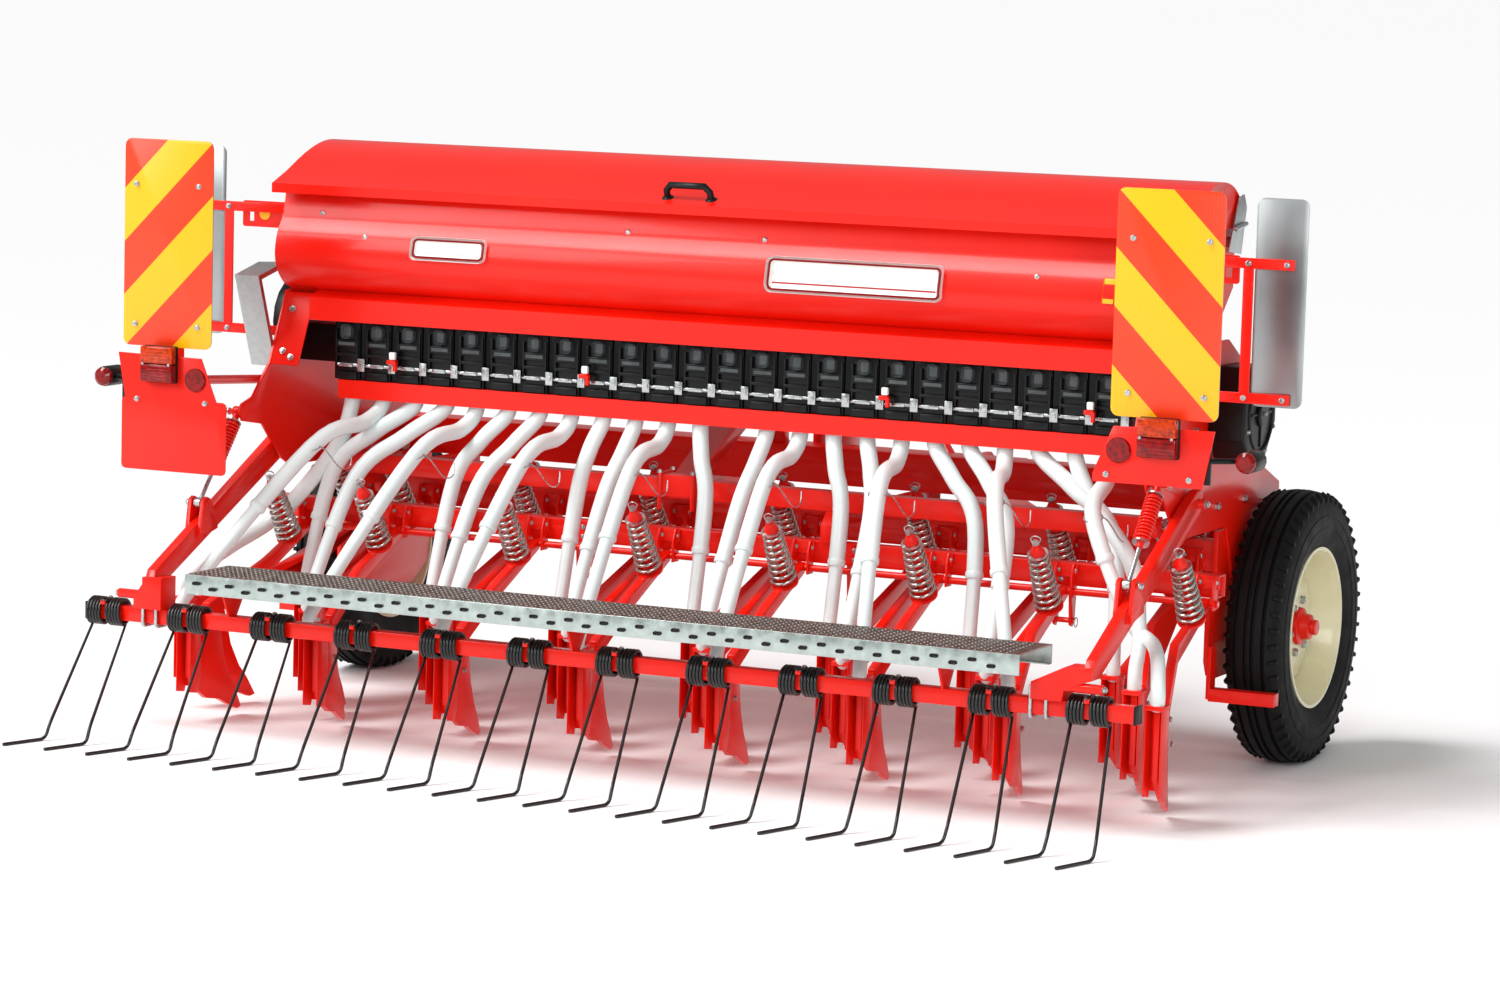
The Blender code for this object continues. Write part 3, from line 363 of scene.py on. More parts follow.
# ---- Hopper ---------------------------------------------------------------------------------------
# Rolled and folded sheet steel with riveted stiffeners behind it, closed by end sheets. Two blank
# white plates are riveted to its rear.
for node in ("hopper_rear_wall", "hopper_front_wall", "hopper_end_left", "hopper_end_right",
             "hopper_floor", "seed_tray", "hopper_apron"):
    dress(node, "machine", red_enamel)
dress("hopper_lid", "lid", red_enamel)

# The rolled rear wall's section, from the top down, as (Z, Y).
back = ((1.385, -0.1505), (1.330, -0.1600), (1.280, -0.1900), (1.225, -0.2020), (1.180, -0.1900),
        (1.142, -0.1550))


def rear_of(z):
    """Where the hopper's rolled rear lies at this height."""
    for (high, near), (low, far) in zip(back, back[1:]):
        if low <= z <= high:
            return near + (far - near) * (high - z) / (high - low)
    return back[0][1]


bpy.ops.mesh.primitive_uv_sphere_add(segments=14, ring_count=8, radius=0.0075)
rivet = bpy.context.object
rivet.scale = (1.0, 1.0, 0.42)
spots = [facing((x, rear_of(z) - 0.0005, z), (0, -1, 0.1))
         for x, z in ((-1.157, 1.334), (-1.008, 1.278), (-0.240, 1.329), (0.152, 1.329), (0.914, 1.278))]
settle(repeat(rivet, spots), "hopper_rivets", "machine", bright_zinc)

bpy.ops.mesh.primitive_uv_sphere_add(segments=12, ring_count=6, radius=0.0045)
rivet = bpy.context.object
rivet.scale = (1.0, 1.0, 0.4)
spots = [facing((x, rear_of(z) - 0.0004, z), (0, -1, -0.3))
         for x, z in ((-0.028, 1.182), (0.008, 1.182), (-0.020, 1.168), (0.000, 1.168))]
settle(repeat(rivet, spots), "drain_rivets", "machine", red_enamel)


def card(width, height, corner, thick):
    """A flat card with rounded corners, standing on edge and facing back."""
    bpy.ops.mesh.primitive_cube_add(size=1.0)
    made = bpy.context.object
    made.scale = (width, thick, height)
    pick(made)
    bpy.ops.object.transform_apply(scale=True)
    bpy.ops.object.mode_set(mode="EDIT")
    bpy.ops.mesh.select_all(action="DESELECT")
    bpy.ops.object.mode_set(mode="OBJECT")
    for line in made.data.edges:
        a, b = (made.data.vertices[i].co for i in line.vertices)
        line.select = abs(a.y - b.y) > thick * 0.5
    bpy.ops.object.mode_set(mode="EDIT")
    bpy.ops.mesh.select_mode(type="EDGE")
    bpy.ops.mesh.bevel(offset=corner, segments=6)
    bpy.ops.mesh.select_mode(type="VERT")
    bpy.ops.object.mode_set(mode="OBJECT")
    return made


def wrapped(made, x, z, proud):
    """The card bent onto the hopper's rolled rear, its middle at this place."""
    pick(made)
    bpy.ops.object.mode_set(mode="EDIT")
    bpy.ops.mesh.select_all(action="SELECT")
    low, high = made.bound_box[0][2], made.bound_box[1][2]
    for k in range(1, 8):
        bpy.ops.mesh.select_all(action="SELECT")
        bpy.ops.mesh.bisect(plane_co=(0, 0, low + (high - low) * k / 8), plane_no=(0, 0, 1))
    bpy.ops.object.mode_set(mode="OBJECT")
    for vertex in made.data.vertices:
        vertex.co = (vertex.co.x + x, rear_of(z + vertex.co.z) + vertex.co.y - proud, vertex.co.z + z)
    return made


# Screen-printed vinyl: smooth, even white with a satin gloss, left blank inside a thin red line.
white_vinyl = finish("white_vinyl", "#f4f2ee", "#e9e7e2", 0.05, 0.001, 0.00001, (0.30, 0.40))
red_ink = finish("red_print", "#b3161c", "#a31218", 0.05, 0.001, 0.00001, (0.35, 0.45))
plates = (("small_plate", -0.748, 1.2580, 0.222, 0.062), ("large_plate", 0.422, 1.2460, 0.486, 0.092))
for name, x, z, width, height in plates:
    ground = wrapped(card(width, height, 0.016, 0.0012), x, z, 0.0012)
    settle(ground, name, "machine", white_vinyl)
    line = wrapped(card(width - 0.012, height - 0.012, 0.012, 0.0006), x, z, 0.0019)
    settle(line, name + "_line", "machine", red_ink)
    field = wrapped(card(width - 0.022, height - 0.022, 0.009, 0.0006), x, z, 0.0022)
    settle(field, name + "_field", "machine", white_vinyl)

# Yellow vinyl labels, blank.
yellow_vinyl = finish("yellow_vinyl", "#fbc312", "#f2b30a", 0.04, 0.001, 0.00001, (0.35, 0.45))
label = wrapped(card(0.030, 0.062, 0.003, 0.0008), 1.108, 1.254, 0.0008)
settle(label, "blank_label", "machine", yellow_vinyl)
bpy.ops.mesh.primitive_cylinder_add(vertices=24, radius=0.017, depth=0.0012, rotation=(math.pi / 2, 0, 0),
                                    location=(-1.353, -0.1348, 1.322))
edge = bpy.context.object.modifiers.new("edge", "BEVEL")
edge.width = 0.0003
bpy.ops.object.modifier_apply(modifier=edge.name)
settle(bpy.context.object, "ear_label", "machine", yellow_vinyl)

# Black moulded plastic: matt, with a spark-eroded grain drawn at 1 mm so that it just shows.
black_plastic = finish("black_plastic", "#0c0e0f", "#060708", 0.06, 0.001, 0.00006, (0.30, 0.45),
                       Specular_IOR_Level=0.28)
dress("lid_handle", "lid", black_plastic, 0.0, 50)
spots = [facing((-0.060 + dx, -0.172, 1.4246 + 0.0018), (0, -0.38, 0.92)) for dx in (-0.062, 0.062)]
bpy.ops.mesh.primitive_cone_add(vertices=20, radius1=0.017, radius2=0.011, depth=0.006)
settle(repeat(bpy.context.object, spots), "handle_feet", "lid", black_plastic)

# Hot-dip galvanised sheet: cloudy pale grey, its crystals seen as soft 20 mm patches.
galvanised = finish("galvanised_sheet", "#c2c7c7", "#abb1b1", 0.020, 0.004, 0.00005, (0.30, 0.48),
                    Metallic=1.0)
dress("lid_latch", "machine", galvanised, 0.0006)


# ---- Seed metering --------------------------------------------------------------------------------
# One moulded black housing for each outlet, with its shut-off slide on top, an inspection slot, and
# zinc clips on the square feed shaft between neighbours. Four of them carry a red and white lever.
dress("metering_units", "machine", black_plastic, 0.0012)
unit_pitch = 0.095
unit_x = [(k - 11.5) * unit_pitch for k in range(24)]
# Grey moulded plastic of slides and windows: a little paler and duller than the housings.
grey_plastic = finish("grey_plastic", "#4a5153", "#363b3d", 0.03, 0.001, 0.00004, (0.38, 0.50))


def block(centre, size, soft):
    """A moulded or milled block with softened edges."""
    bpy.ops.mesh.primitive_cube_add(size=1.0, location=centre)
    made = bpy.context.object
    made.scale = size
    pick(made)
    bpy.ops.object.transform_apply(scale=True)
    edge = made.modifiers.new("softened", "BEVEL")
    edge.width = soft
    edge.segments = 2
    bpy.ops.object.modifier_apply(modifier=edge.name)
    return made


def at_units(piece, shift=0.0):
    """The piece once at each metering unit."""
    return repeat(piece, [Matrix.Translation((x + shift, 0, 0)) for x in unit_x])


slide = card(0.034, 0.040, 0.012, 0.007)
slide.location = (0, -0.1300, 1.018)
settle(at_units(slide), "shut_off_slides", "machine", grey_plastic)
fronts = [block((0, -0.1285, 0.985), (0.062, 0.007, 0.020), 0.0015),
          block((0, -0.1285, 0.9560), (0.070, 0.007, 0.008), 0.001),
          block((-0.033, -0.1275, 0.975), (0.005, 0.008, 0.100), 0.001),
          block((0.033, -0.1275, 0.975), (0.005, 0.008, 0.100), 0.001),
          block((0, -0.1280, 0.900), (0.064, 0.010, 0.020), 0.002)]
settle(at_units(gather(fronts)), "unit_fronts", "machine", black_plastic)
window = block((0.0, -0.1322, 0.985), (0.050, 0.0015, 0.009), 0.0005)
settle(at_units(window), "slot_windows", "machine", grey_plastic)
dress("metering_shaft", "machine", bright_zinc, 0.0, 50)
sleeve = block((0, -0.1335, 0.928), (0.040, 0.005, 0.009), 0.0008)
settle(at_units(sleeve), "feed_shaft_sleeves", "machine", bright_zinc)
clip = gather([block((0, -0.1360, 0.930), (0.021, 0.0022, 0.034), 0.0006),
               block((-0.0095, -0.1310, 0.930), (0.002, 0.010, 0.034), 0.0004),
               block((0.003, -0.1385, 0.930), (0.007, 0.004, 0.012), 0.0008)])
settle(at_units(clip, unit_pitch / 2), "shaft_clips", "machine", bright_zinc)
levers = [Matrix.Translation((x, 0, 0)) for x in (-0.9437, -0.3655, 0.4917, 1.0491)]
knob = gather([block((0, -0.146, 0.945), (0.026, 0.020, 0.012), 0.003),
               block((0.012, -0.150, 0.934), (0.010, 0.014, 0.026), 0.003)])
settle(repeat(knob, levers), "lever_knobs", "machine", red_enamel)
scale = block((0.004, -0.150, 0.962), (0.018, 0.012, 0.020), 0.003)
settle(repeat(scale, levers), "lever_scales", "machine", white_vinyl)


# ---- Seed tubes -------------------------------------------------------------------------------------
# Telescopic extruded tubes of white polyethylene, the wider upper one over the slimmer lower one,
# with a rolled collar at the step and a spring-wire hanger on every third.
def flowing(points, parts):
    """A smooth line through the points, each stretch in this many parts."""
    ends = [points[0]] + list(points) + [points[-1]]
    line = []
    for a, b, c, d in zip(ends, ends[1:], ends[2:], ends[3:]):
        a, b, c, d = (Vector(p) for p in (a, b, c, d))
        for k in range(parts):
            t = k / parts
            line.append(0.5 * (2 * b + (c - a) * t + (2 * a - 5 * b + 4 * c - d) * t * t
                               + (3 * b - a - 3 * c + d) * t ** 3))
    return line + [Vector(points[-1])]


def wire(line, radius, sides=8, swell=None):
    """Round wire or tube along a line of points, its ends closed."""
    curve = bpy.data.curves.new("wire", "CURVE")
    curve.dimensions = "3D"
    curve.bevel_depth = radius
    curve.bevel_resolution = (sides - 4) // 2
    curve.use_fill_caps = True
    path = curve.splines.new("POLY")
    path.points.add(len(line) - 1)
    for i, place in enumerate(line):
        path.points[i].co = (*place, 1.0)
        path.points[i].radius = swell[i] if swell else 1.0
    made = bpy.data.objects.new("wire", curve)
    bpy.context.scene.collection.objects.link(made)
    pick(made)
    bpy.ops.object.convert(target="MESH")
    return bpy.context.object


# Polyethylene tube: milky, faintly blue white with a soft gloss.
white_tube = finish("white_tube_plastic", "#e9f2f1", "#d8e4e3", 0.25, 0.003, 0.00005, (0.30, 0.42))

# Rows go to the ranks in turn, by row % 3: 1 is the rear rank, 0 the middle one and 2 the front one.
# The thirteenth metering unit has no tube.
rows, row_pitch, blank_unit = 23, 0.129, 12
boot_shift = {1: 0.0, 0: 0.190, 2: 0.380}


def row_x(row):
    """Where a row's coulter runs across the machine."""
    return (row - 11) * row_pitch


def tube_line(row):
    """The bends of a seed tube, from its metering unit down to its coulter boot."""
    x0, x1 = unit_x[row if row < blank_unit else row + 1], row_x(row)
    step = x1 - x0
    foot = -0.590 + boot_shift[row % 3]
    line = [(x0, -0.095, 0.882), (x0, -0.097, 0.825)]
    if row == 0:
        line += [(x0 - 0.020, -0.125, 0.720), (x0 - 0.115, -0.160, 0.580), (-1.290, -0.190, 0.490),
                 (-1.345, -0.300, 0.430)]
    elif row == 21:
        line += [(x0 + 0.060, -0.125, 0.720), (x0 + 0.200, -0.200, 0.580), (1.284, -0.365, 0.440)]
    elif row == 22:
        line += [(x0 + 0.015, -0.160, 0.780), (x0 + 0.028, -0.280, 0.700), (1.240, -0.330, 0.470),
                 (1.345, -0.420, 0.415)]
    elif row % 3 == 1:
        line += [(x0 + 0.08 * step, -0.150, 0.780), (x0 + 0.30 * step, -0.320, 0.722)]
    else:
        lean = 0.235 if row % 3 == 0 else 0.140
        line += [(x0 + 0.4 * step, -0.090 - 0.25 * lean, 0.750), (x0 + 0.85 * step, -lean, 0.640)]
    return line + [(x1, foot, 0.348), (x1, foot, 0.295)]


# The upper tube's part of each line ends four steps into its fourth stretch, and the lower tube
# starts two steps earlier, inside it.
stretch_parts = 7
split = 3 * stretch_parts + 4
tubes, collars, hangers = [], [], []
for row in range(rows):
    line = flowing(tube_line(row), stretch_parts)
    tubes.append(wire(line[:split], 0.0212, 14))
    tubes.append(wire(line[split - 2:], 0.0178, 14))
    lip = line[split - 1]
    way = (lip - line[split - 3]).normalized()
    rolled = [lip - way * 0.010, lip - way * 0.006, lip + way * 0.004, lip + way * 0.008]
    collars.append(wire(rolled, 0.0235, 14, [0.92, 1.0, 1.0, 0.92]))
    if row % 3 == 1:
        top = line[split - 4]
        hook = [(0.024, 0, 0.004), (0.034, 0.02, -0.010), (0.046, 0.075, -0.060), (0.040, 0.135, -0.062),
                (0.036, 0.150, -0.030)]
        hangers.append(wire(flowing([top + Vector(bend) for bend in hook], 5), 0.0018, 6))
        eye = [top + Vector((0.0245 * math.cos(a), 0.0245 * math.sin(a) * 0.9, 0.0245 * math.sin(a) * 0.35))
               for a in (math.tau * k / 18 for k in range(19))]
        hangers.append(wire(eye, 0.0018, 6))
piece = settle(gather(tubes), "tubes", "machine", white_tube, 60)
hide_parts("seed_tubes")
settle(gather(collars), "tube_collars", "machine", white_tube, 60)
settle(gather(hangers), "tube_hangers", "machine", bright_zinc, 60)


# ---- Coulters ---------------------------------------------------------------------------------------
# Twenty-three sprung hoe coulters in three ranks: a welded box arm hinged on a clamp under its beam,
# a cast-steel hoe with its seed chute, and a conical zinc spring over a red rod with a red cap.
def plate(outline, low, high):
    """A flame-cut plate: an outline of (Y, Z), given thickness from low to high in X."""
    bpy.ops.mesh.primitive_circle_add(vertices=len(outline), fill_type="NGON")
    made = bpy.context.object
    for vertex, (y, z) in zip(made.data.vertices, outline):
        vertex.co = (low, y, z)
    bpy.ops.object.mode_set(mode="EDIT")
    bpy.ops.mesh.select_all(action="SELECT")
    bpy.ops.mesh.extrude_region_move(TRANSFORM_OT_translate={"value": (high - low, 0, 0)})
    bpy.ops.mesh.select_all(action="SELECT")
    bpy.ops.mesh.normals_make_consistent(inside=False)
    bpy.ops.object.mode_set(mode="OBJECT")
    return made


def eased(made, width, segments=2):
    """The piece with its sharp edges rounded."""
    pick(made)
    edge = made.modifiers.new("eased", "BEVEL")
    edge.width = width
    edge.segments = segments
    edge.angle_limit = math.radians(35)
    bpy.ops.object.modifier_apply(modifier=edge.name)
    return made


def coil(start, way, length, turns, wide, narrow, thick, steps=14, sides=6):
    """A spring wound round a line, from its wide end to its narrow end."""
    across = way.orthogonal().normalized()
    other = way.cross(across)
    line = []
    for k in range(int(turns * steps) + 1):
        share = k / (turns * steps)
        angle = math.tau * k / steps
        radius = wide + (narrow - wide) * share
        spoke = across * math.cos(angle) + other * math.sin(angle)
        line.append(start + way * length * share + spoke * radius)
    return wire(line, thick, sides)


def splay(made, x_top, x_foot, y_bend, y_foot):
    """The piece moved across: by its pivot's lane as far back as the bend, by its row's at the foot."""
    for vertex in made.data.vertices:
        share = max(0.0, min(1.0, (y_bend - vertex.co.y) / (y_bend - y_foot)))
        vertex.co.x += x_top + (x_foot - x_top) * share
    return made


# Drawn spring wire, zinc plated: bright, smooth and even.
spring_steel = finish("zinc_spring_wire", "#cfcfca", "#b9b8b0", 0.060, 0.004, 0.00001, (0.16, 0.24),
                      Metallic=1.0)

# A few arms hang beside their own rows, to clear the rails and the side plates.
pivot_x = {0: -1.200, 1: -1.215, 4: -0.935, 19: 0.985, 21: 1.200, 22: 1.360}
rank_name = {1: "rear", 0: "mid", 2: "front"}
beam_face = {1: -0.0906, 0: 0.2394, 2: 0.5434}
beam_shift = {1: 0.0, 0: 0.330, 2: 0.634}
hoe_outline = ((-0.592, 0.296), (-0.545, 0.296), (-0.490, 0.310), (-0.478, 0.240), (-0.466, 0.165),
               (-0.446, 0.105), (-0.428, 0.072), (-0.408, 0.024), (-0.420, 0.018), (-0.452, 0.034),
               (-0.480, 0.050), (-0.520, 0.056), (-0.560, 0.085), (-0.592, 0.120))
cheek_outline = ((-0.614, 0.300), (-0.566, 0.300), (-0.560, 0.120), (-0.575, 0.078), (-0.614, 0.084))
lean = Vector((0.0, -0.100, 0.155)).normalized()
red_pieces = {rank: [] for rank in rank_name}
springs, fasteners, links = [], [], []
pivot_at = {}
for row in range(rows):
    rank = row % 3
    boot = boot_shift[rank]
    face = beam_face[rank]
    py, pz = face - 0.019, 0.488 + (0.020 if rank != 1 else 0.0)
    pivot_at[rank] = (py, pz)
    knee, end = (-0.330 + (beam_shift[rank] + boot) / 2, 0.392), (-0.500 + boot, 0.300)
    x_foot = row_x(row)
    x_top = pivot_x.get(row, x_foot)
    lanes = (x_top, x_foot, knee[0] + 0.010, -0.545 + boot)

    bar = ((py + 0.006, pz + 0.014), (knee[0] + 0.004, knee[1] + 0.022), (end[0] - 0.02, end[1] + 0.010),
           (end[0] - 0.02, end[1] - 0.040), (knee[0] - 0.006, knee[1] - 0.024), (py - 0.002, pz - 0.014))
    arm = splay(eased(plate(bar, -0.012, 0.012), 0.002), *lanes)
    ear = ((face - 0.034, pz - 0.016), (face, pz - 0.016), (face, pz + 0.070),
           (face - 0.020, pz + 0.070), (face - 0.034, pz + 0.040))
    ears = gather([eased(plate(ear, low, low + 0.006), 0.0012) for low in (-0.026, 0.020)])
    ears = splay(ears, *lanes)
    clamp = splay(block((0, face - 0.005, pz + 0.052), (0.060, 0.008, 0.034), 0.0015), *lanes)
    hoe = splay(eased(plate([(y + boot, z) for y, z in hoe_outline], -0.008, 0.008), 0.0016), *lanes)
    cheek = [(y + boot, z) for y, z in cheek_outline]
    cheeks = gather([eased(plate(cheek, low, low + 0.003), 0.0008) for low in (-0.022, 0.019)])
    cheeks = splay(cheeks, *lanes)
    spine = splay(block((0, -0.5675 + boot, 0.195), (0.040, 0.003, 0.205), 0.0008), *lanes)
    collar = splay(block((0, -0.590 + boot, 0.2985), (0.050, 0.052, 0.012), 0.003), *lanes)

    slope = (knee[1] - pz) / (knee[0] - py)
    seat = Vector((x_top, py - 0.098, pz + slope * -0.098 + 0.016))
    pan = wire([seat - lean * 0.004, seat + lean * 0.002], 0.036, 20)
    rod = wire([seat, seat + lean * 0.198], 0.0075, 10)
    cap = wire([seat + lean * rise for rise in (0.168, 0.173, 0.184, 0.194)], 0.019, 16,
               [0.98, 1.0, 0.72, 0.45])
    links.append(wire([seat + lean * 0.1655, seat + lean * 0.1685], 0.027, 20))
    springs.append(coil(seat + lean * 0.004, lean, 0.164, 8.5, 0.0325, 0.0225, 0.0048, 16, 8))
    links.append(wire([seat + lean * 0.198, seat + lean * 0.206], 0.010, 6))
    loop = ((0.202, (0.009, 0, 0)), (0.216, (0.014, 0.006, 0)), (0.222, (0, 0.010, 0)),
            (0.214, (-0.013, 0.008, 0)), (0.202, (-0.009, 0, 0)))
    links.append(wire(flowing([seat + lean * rise + Vector(aside) for rise, aside in loop], 4), 0.0016, 6))
    red_pieces[rank] += [arm, ears, clamp, hoe, cheeks, spine, collar, pan, rod, cap]
    fasteners += [facing((x_top + s * 0.026, py, pz), (s, 0, 0)) for s in (-1, 1)]
    fasteners += [facing((x_foot + s * 0.0082, y + boot, z), (s, 0, 0))
                  for s in (-1, 1) for y, z in ((-0.525, 0.262), (-0.508, 0.200))]
    fasteners += [facing((x_top + dx, face - 0.009, pz + 0.052), (0, -1, 0)) for dx in (-0.022, 0.022)]
for rank, pieces in red_pieces.items():
    places = [pivot_x.get(row, row_x(row)) for row in range(rank, rows, 3)]
    shaft = [(min(places) - 0.034, *pivot_at[rank]), (max(places) + 0.034, *pivot_at[rank])]
    pieces.append(wire(shaft, 0.009, 14))
    made = settle(gather(pieces), "coulters_" + rank_name[rank], "machine", red_enamel)
    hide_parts("coulter_rank_" + rank_name[rank])
settle(gather(springs), "coulter_springs", "machine", spring_steel, 60)
settle(gather(links), "spring_rod_links", "machine", bright_zinc, 50)
settle(repeat(hex_bolt(0.0075), fasteners), "coulter_bolts", "machine", bright_zinc)


# ---- Pressure shaft fittings ------------------------------------------------------------------------
# The lever is clamped to the pressure shaft by U-bolts, of which the nuts stand up above it. Each
# clevis under the rear beam is held by a zinc-plated linch pin with a sprung ring.
spots = [facing((x, y, 0.6975), (0, 0, 1)) for x in (-0.178, -0.082) for y in (-0.064, 0.014)]
settle(repeat(hex_bolt(0.008), spots), "u_bolt_nuts", "machine", bright_zinc)
rings = []
for x in (-0.385, 0.400, 0.968):
    rings.append(wire([(x + 0.034, -0.064 + 0.012 * math.cos(a), 0.404 + 0.012 * math.sin(a))
                       for a in (math.tau * k / 16 for k in range(17))], 0.0014, 6))
settle(gather(rings), "linch_rings", "machine", bright_zinc, 60)


# ---- Drive ----------------------------------------------------------------------------------------
# Right: a cast gearbox with ribs and cover screws, a zinc quadrant with the rate lever and its black
# star knob. Left: the chain case under a bent galvanised guard.
dress("gearbox", "machine", black_plastic, 0.006)
dress("gear_quadrant", "machine", galvanised, 0.0006)
dress("drive_case_left", "machine", black_plastic, 0.004)
dress("drive_guard_left", "machine", galvanised)
gear_y, gear_z = 0.180, 0.940
ribs = [block((1.3865, gear_y, gear_z), (0.006, 0.150, 0.007), 0.0015),
        block((1.3865, gear_y, gear_z), (0.006, 0.007, 0.170), 0.0015)]
rim = wire([(1.3860, gear_y + 0.090 * math.cos(a), gear_z + 0.096 * math.sin(a))
            for a in (math.tau * k / 40 for k in range(41))], 0.0045, 8)
boss = wire([(x, gear_y, gear_z) for x in (1.384, 1.392, 1.396)], 0.034, 28, [1.0, 1.0, 0.85])
settle(gather(ribs + [rim, boss]), "gearbox_ribs", "machine", black_plastic)
screw_circle = 0.104
spots = []
for a in (math.tau * (k + 0.5) / 8 for k in range(8)):
    y, z = gear_y + screw_circle * math.cos(a), gear_z + screw_circle * math.sin(a)
    spots.append(facing((1.3852, y, z), (1, 0, 0)))
spots.append(facing((1.396, gear_y, gear_z), (1, 0, 0)))
settle(repeat(hex_bolt(0.006), spots), "gearbox_screws", "machine", bright_zinc)

# The star knob: six round lobes about a disc.
knob_y, knob_z, lobe_circle = 0.282, 1.180, 0.0165
star = []
for a in (math.tau * k / 6 for k in range(6)):
    y, z = knob_y + lobe_circle * math.cos(a), knob_z + lobe_circle * math.sin(a)
    star.append(wire([(x, y, z) for x in (1.4160, 1.4180, 1.4400, 1.4425)], 0.0085, 12, [0.7, 1.0, 1.0, 0.7]))
star.append(wire([(x, knob_y, knob_z) for x in (1.4150, 1.4165, 1.4410, 1.4440)], 0.0215, 24,
                 [0.85, 1.0, 1.0, 0.7]))
settle(gather(star), "rate_knob", "machine", black_plastic, 50)

# Painted shade for the notches stamped in the quadrant: thin, dull, nearly black marks where the recesses
# are.
notch_shade = finish("notch_shade", "#3a3c3d", "#242627", 0.02, 0.001, 0.00005, (0.35, 0.55), Metallic=0.8)
# Each stamped notch is a thin dark block on the quadrant's face: painted shade in place of the recess.
notches = []
for a in (-0.5 + 0.11 * k for k in range(10)):
    y, z = 0.262 + 0.105 * math.sin(a), 1.100 + 0.112 * math.cos(a)
    notches.append(block((1.3915, y, z), (0.0012, 0.0016, 0.010), 0.0002))
settle(gather(notches), "quadrant_marks", "machine", notch_shade)
spots = [facing((-1.3385, 0.010 + 0.095 * math.cos(a), 1.030 + 0.095 * math.sin(a)), (-1, 0, 0))
         for a in (math.tau * (k + 0.3) / 6 for k in range(6))]
settle(repeat(hex_bolt(0.007), spots), "drive_case_screws", "machine", bright_zinc)


# ---- Marker boards and lamps ------------------------------------------------------------------------
# Aluminium sheets faced with reflective film in 100 mm diagonal bands, screwed to red flat-bar
# brackets. Moulded amber and red lamps with two screws, and round red reflectors.
# Where the bands start, measured along X + Z, and what a red and an amber band take together.
first_band, band_pair = 2.645, 0.281


def striped(name, hand):
    """Reflective film: orange-red and amber bands at 45 degrees, over a fine upright rib."""
    made = bpy.data.materials.new(name)
    made.use_nodes = True
    shader = made.node_tree.nodes["Principled BSDF"]
    where = add(made, "TexCoord", {}, {})
    axes = add(made, "SeparateXYZ", {}, {0: (where, "Object")})
    across = add(made, "Math", {"operation": "MULTIPLY"}, {0: (axes, 0), 1: float(hand)})
    slant = add(made, "Math", {"operation": "ADD"}, {0: (across, 0), 1: (axes, 2)})
    start = add(made, "Math", {"operation": "SUBTRACT"}, {0: (slant, 0), 1: first_band})
    count = add(made, "Math", {"operation": "DIVIDE"}, {0: (start, 0), 1: band_pair})
    part = add(made, "Math", {"operation": "FLOORED_MODULO"}, {0: (count, 0), 1: 1.0})
    band = add(made, "Math", {"operation": "LESS_THAN"}, {0: (part, 0), 1: 0.5})
    colour = add(made, "Mix", {"data_type": "RGBA"},
                 {0: (band, 0), 6: linear("#fbb504"), 7: linear("#f4390c")})
    rib = add(made, "TexWave", {"bands_direction": "X"},
              {"Vector": (where, "Object"), "Scale": 36.0, "Distortion": 0.2})
    cell = add(made, "TexVoronoi", {}, {"Vector": (where, "Object"), "Scale": 420.0})
    height = add(made, "Math", {"operation": "ADD"}, {0: (rib, 1), 1: (cell, 0)})
    bump = add(made, "Bump", {}, {"Height": (height, 0), "Distance": 0.00012, "Strength": 0.6})
    weave = add(made, "MapRange", {}, {0: (rib, 1), 1: 0.0, 2: 1.0, 3: 0.93, 4: 1.0})
    shade = add(made, "Mix", {"data_type": "RGBA", "blend_type": "MULTIPLY"},
                {0: 1.0, 6: (colour, 2), 7: (weave, 0)})
    made.node_tree.links.new(shade.outputs[2], shader.inputs["Base Color"])
    made.node_tree.links.new(bump.outputs[0], shader.inputs["Normal"])
    shader.inputs["Roughness"].default_value = 0.32
    return made


# The film: saturated bands with a fine upright rib and a bead pattern drawn at 2 mm. Behind it, bare
# rolled aluminium, cool grey and slightly brushed.
film = {1: striped("reflective_film_right", 1), -1: striped("reflective_film_left", -1)}
sheet_metal = finish("aluminium_sheet", "#b4b8b9", "#8f9495", 0.30, 0.002, 0.00003, (0.26, 0.40),
                     Metallic=1.0)
for side, hand in ((-1, "left"), (1, "right")):
    for end, sign in (("rear", -1), ("front", 1)):
        made = dress(f"marker_board_{end}_{hand}", "machine", film[side], 0.0006)
        made.data.materials.append(sheet_metal)
        for face in made.data.polygons:
            face.material_index = 0 if face.normal.y * sign > 0.5 else 1
    dress("board_bracket_" + hand, "machine", red_enamel, 0.0008)
    dress("front_board_arm_" + hand, "machine", red_enamel, 0.0008)
spots = []
for side in (-1, 1):
    spots += [facing((side * x, -0.5512, z), (0, -1, 0)) for x in (1.300, 1.492) for z in (1.041, 1.410)]
    spots += [facing((side * x, -0.1564, z), (0, -1, 0)) for x in (1.552, 1.453) for z in (1.339, 1.009)]
    spots += [facing((side * x, -0.5722, 0.845), (0, -1, 0)) for x in (1.470, 1.260)]
settle(repeat(hex_bolt(0.0075), spots), "board_bolts", "machine", bright_zinc)


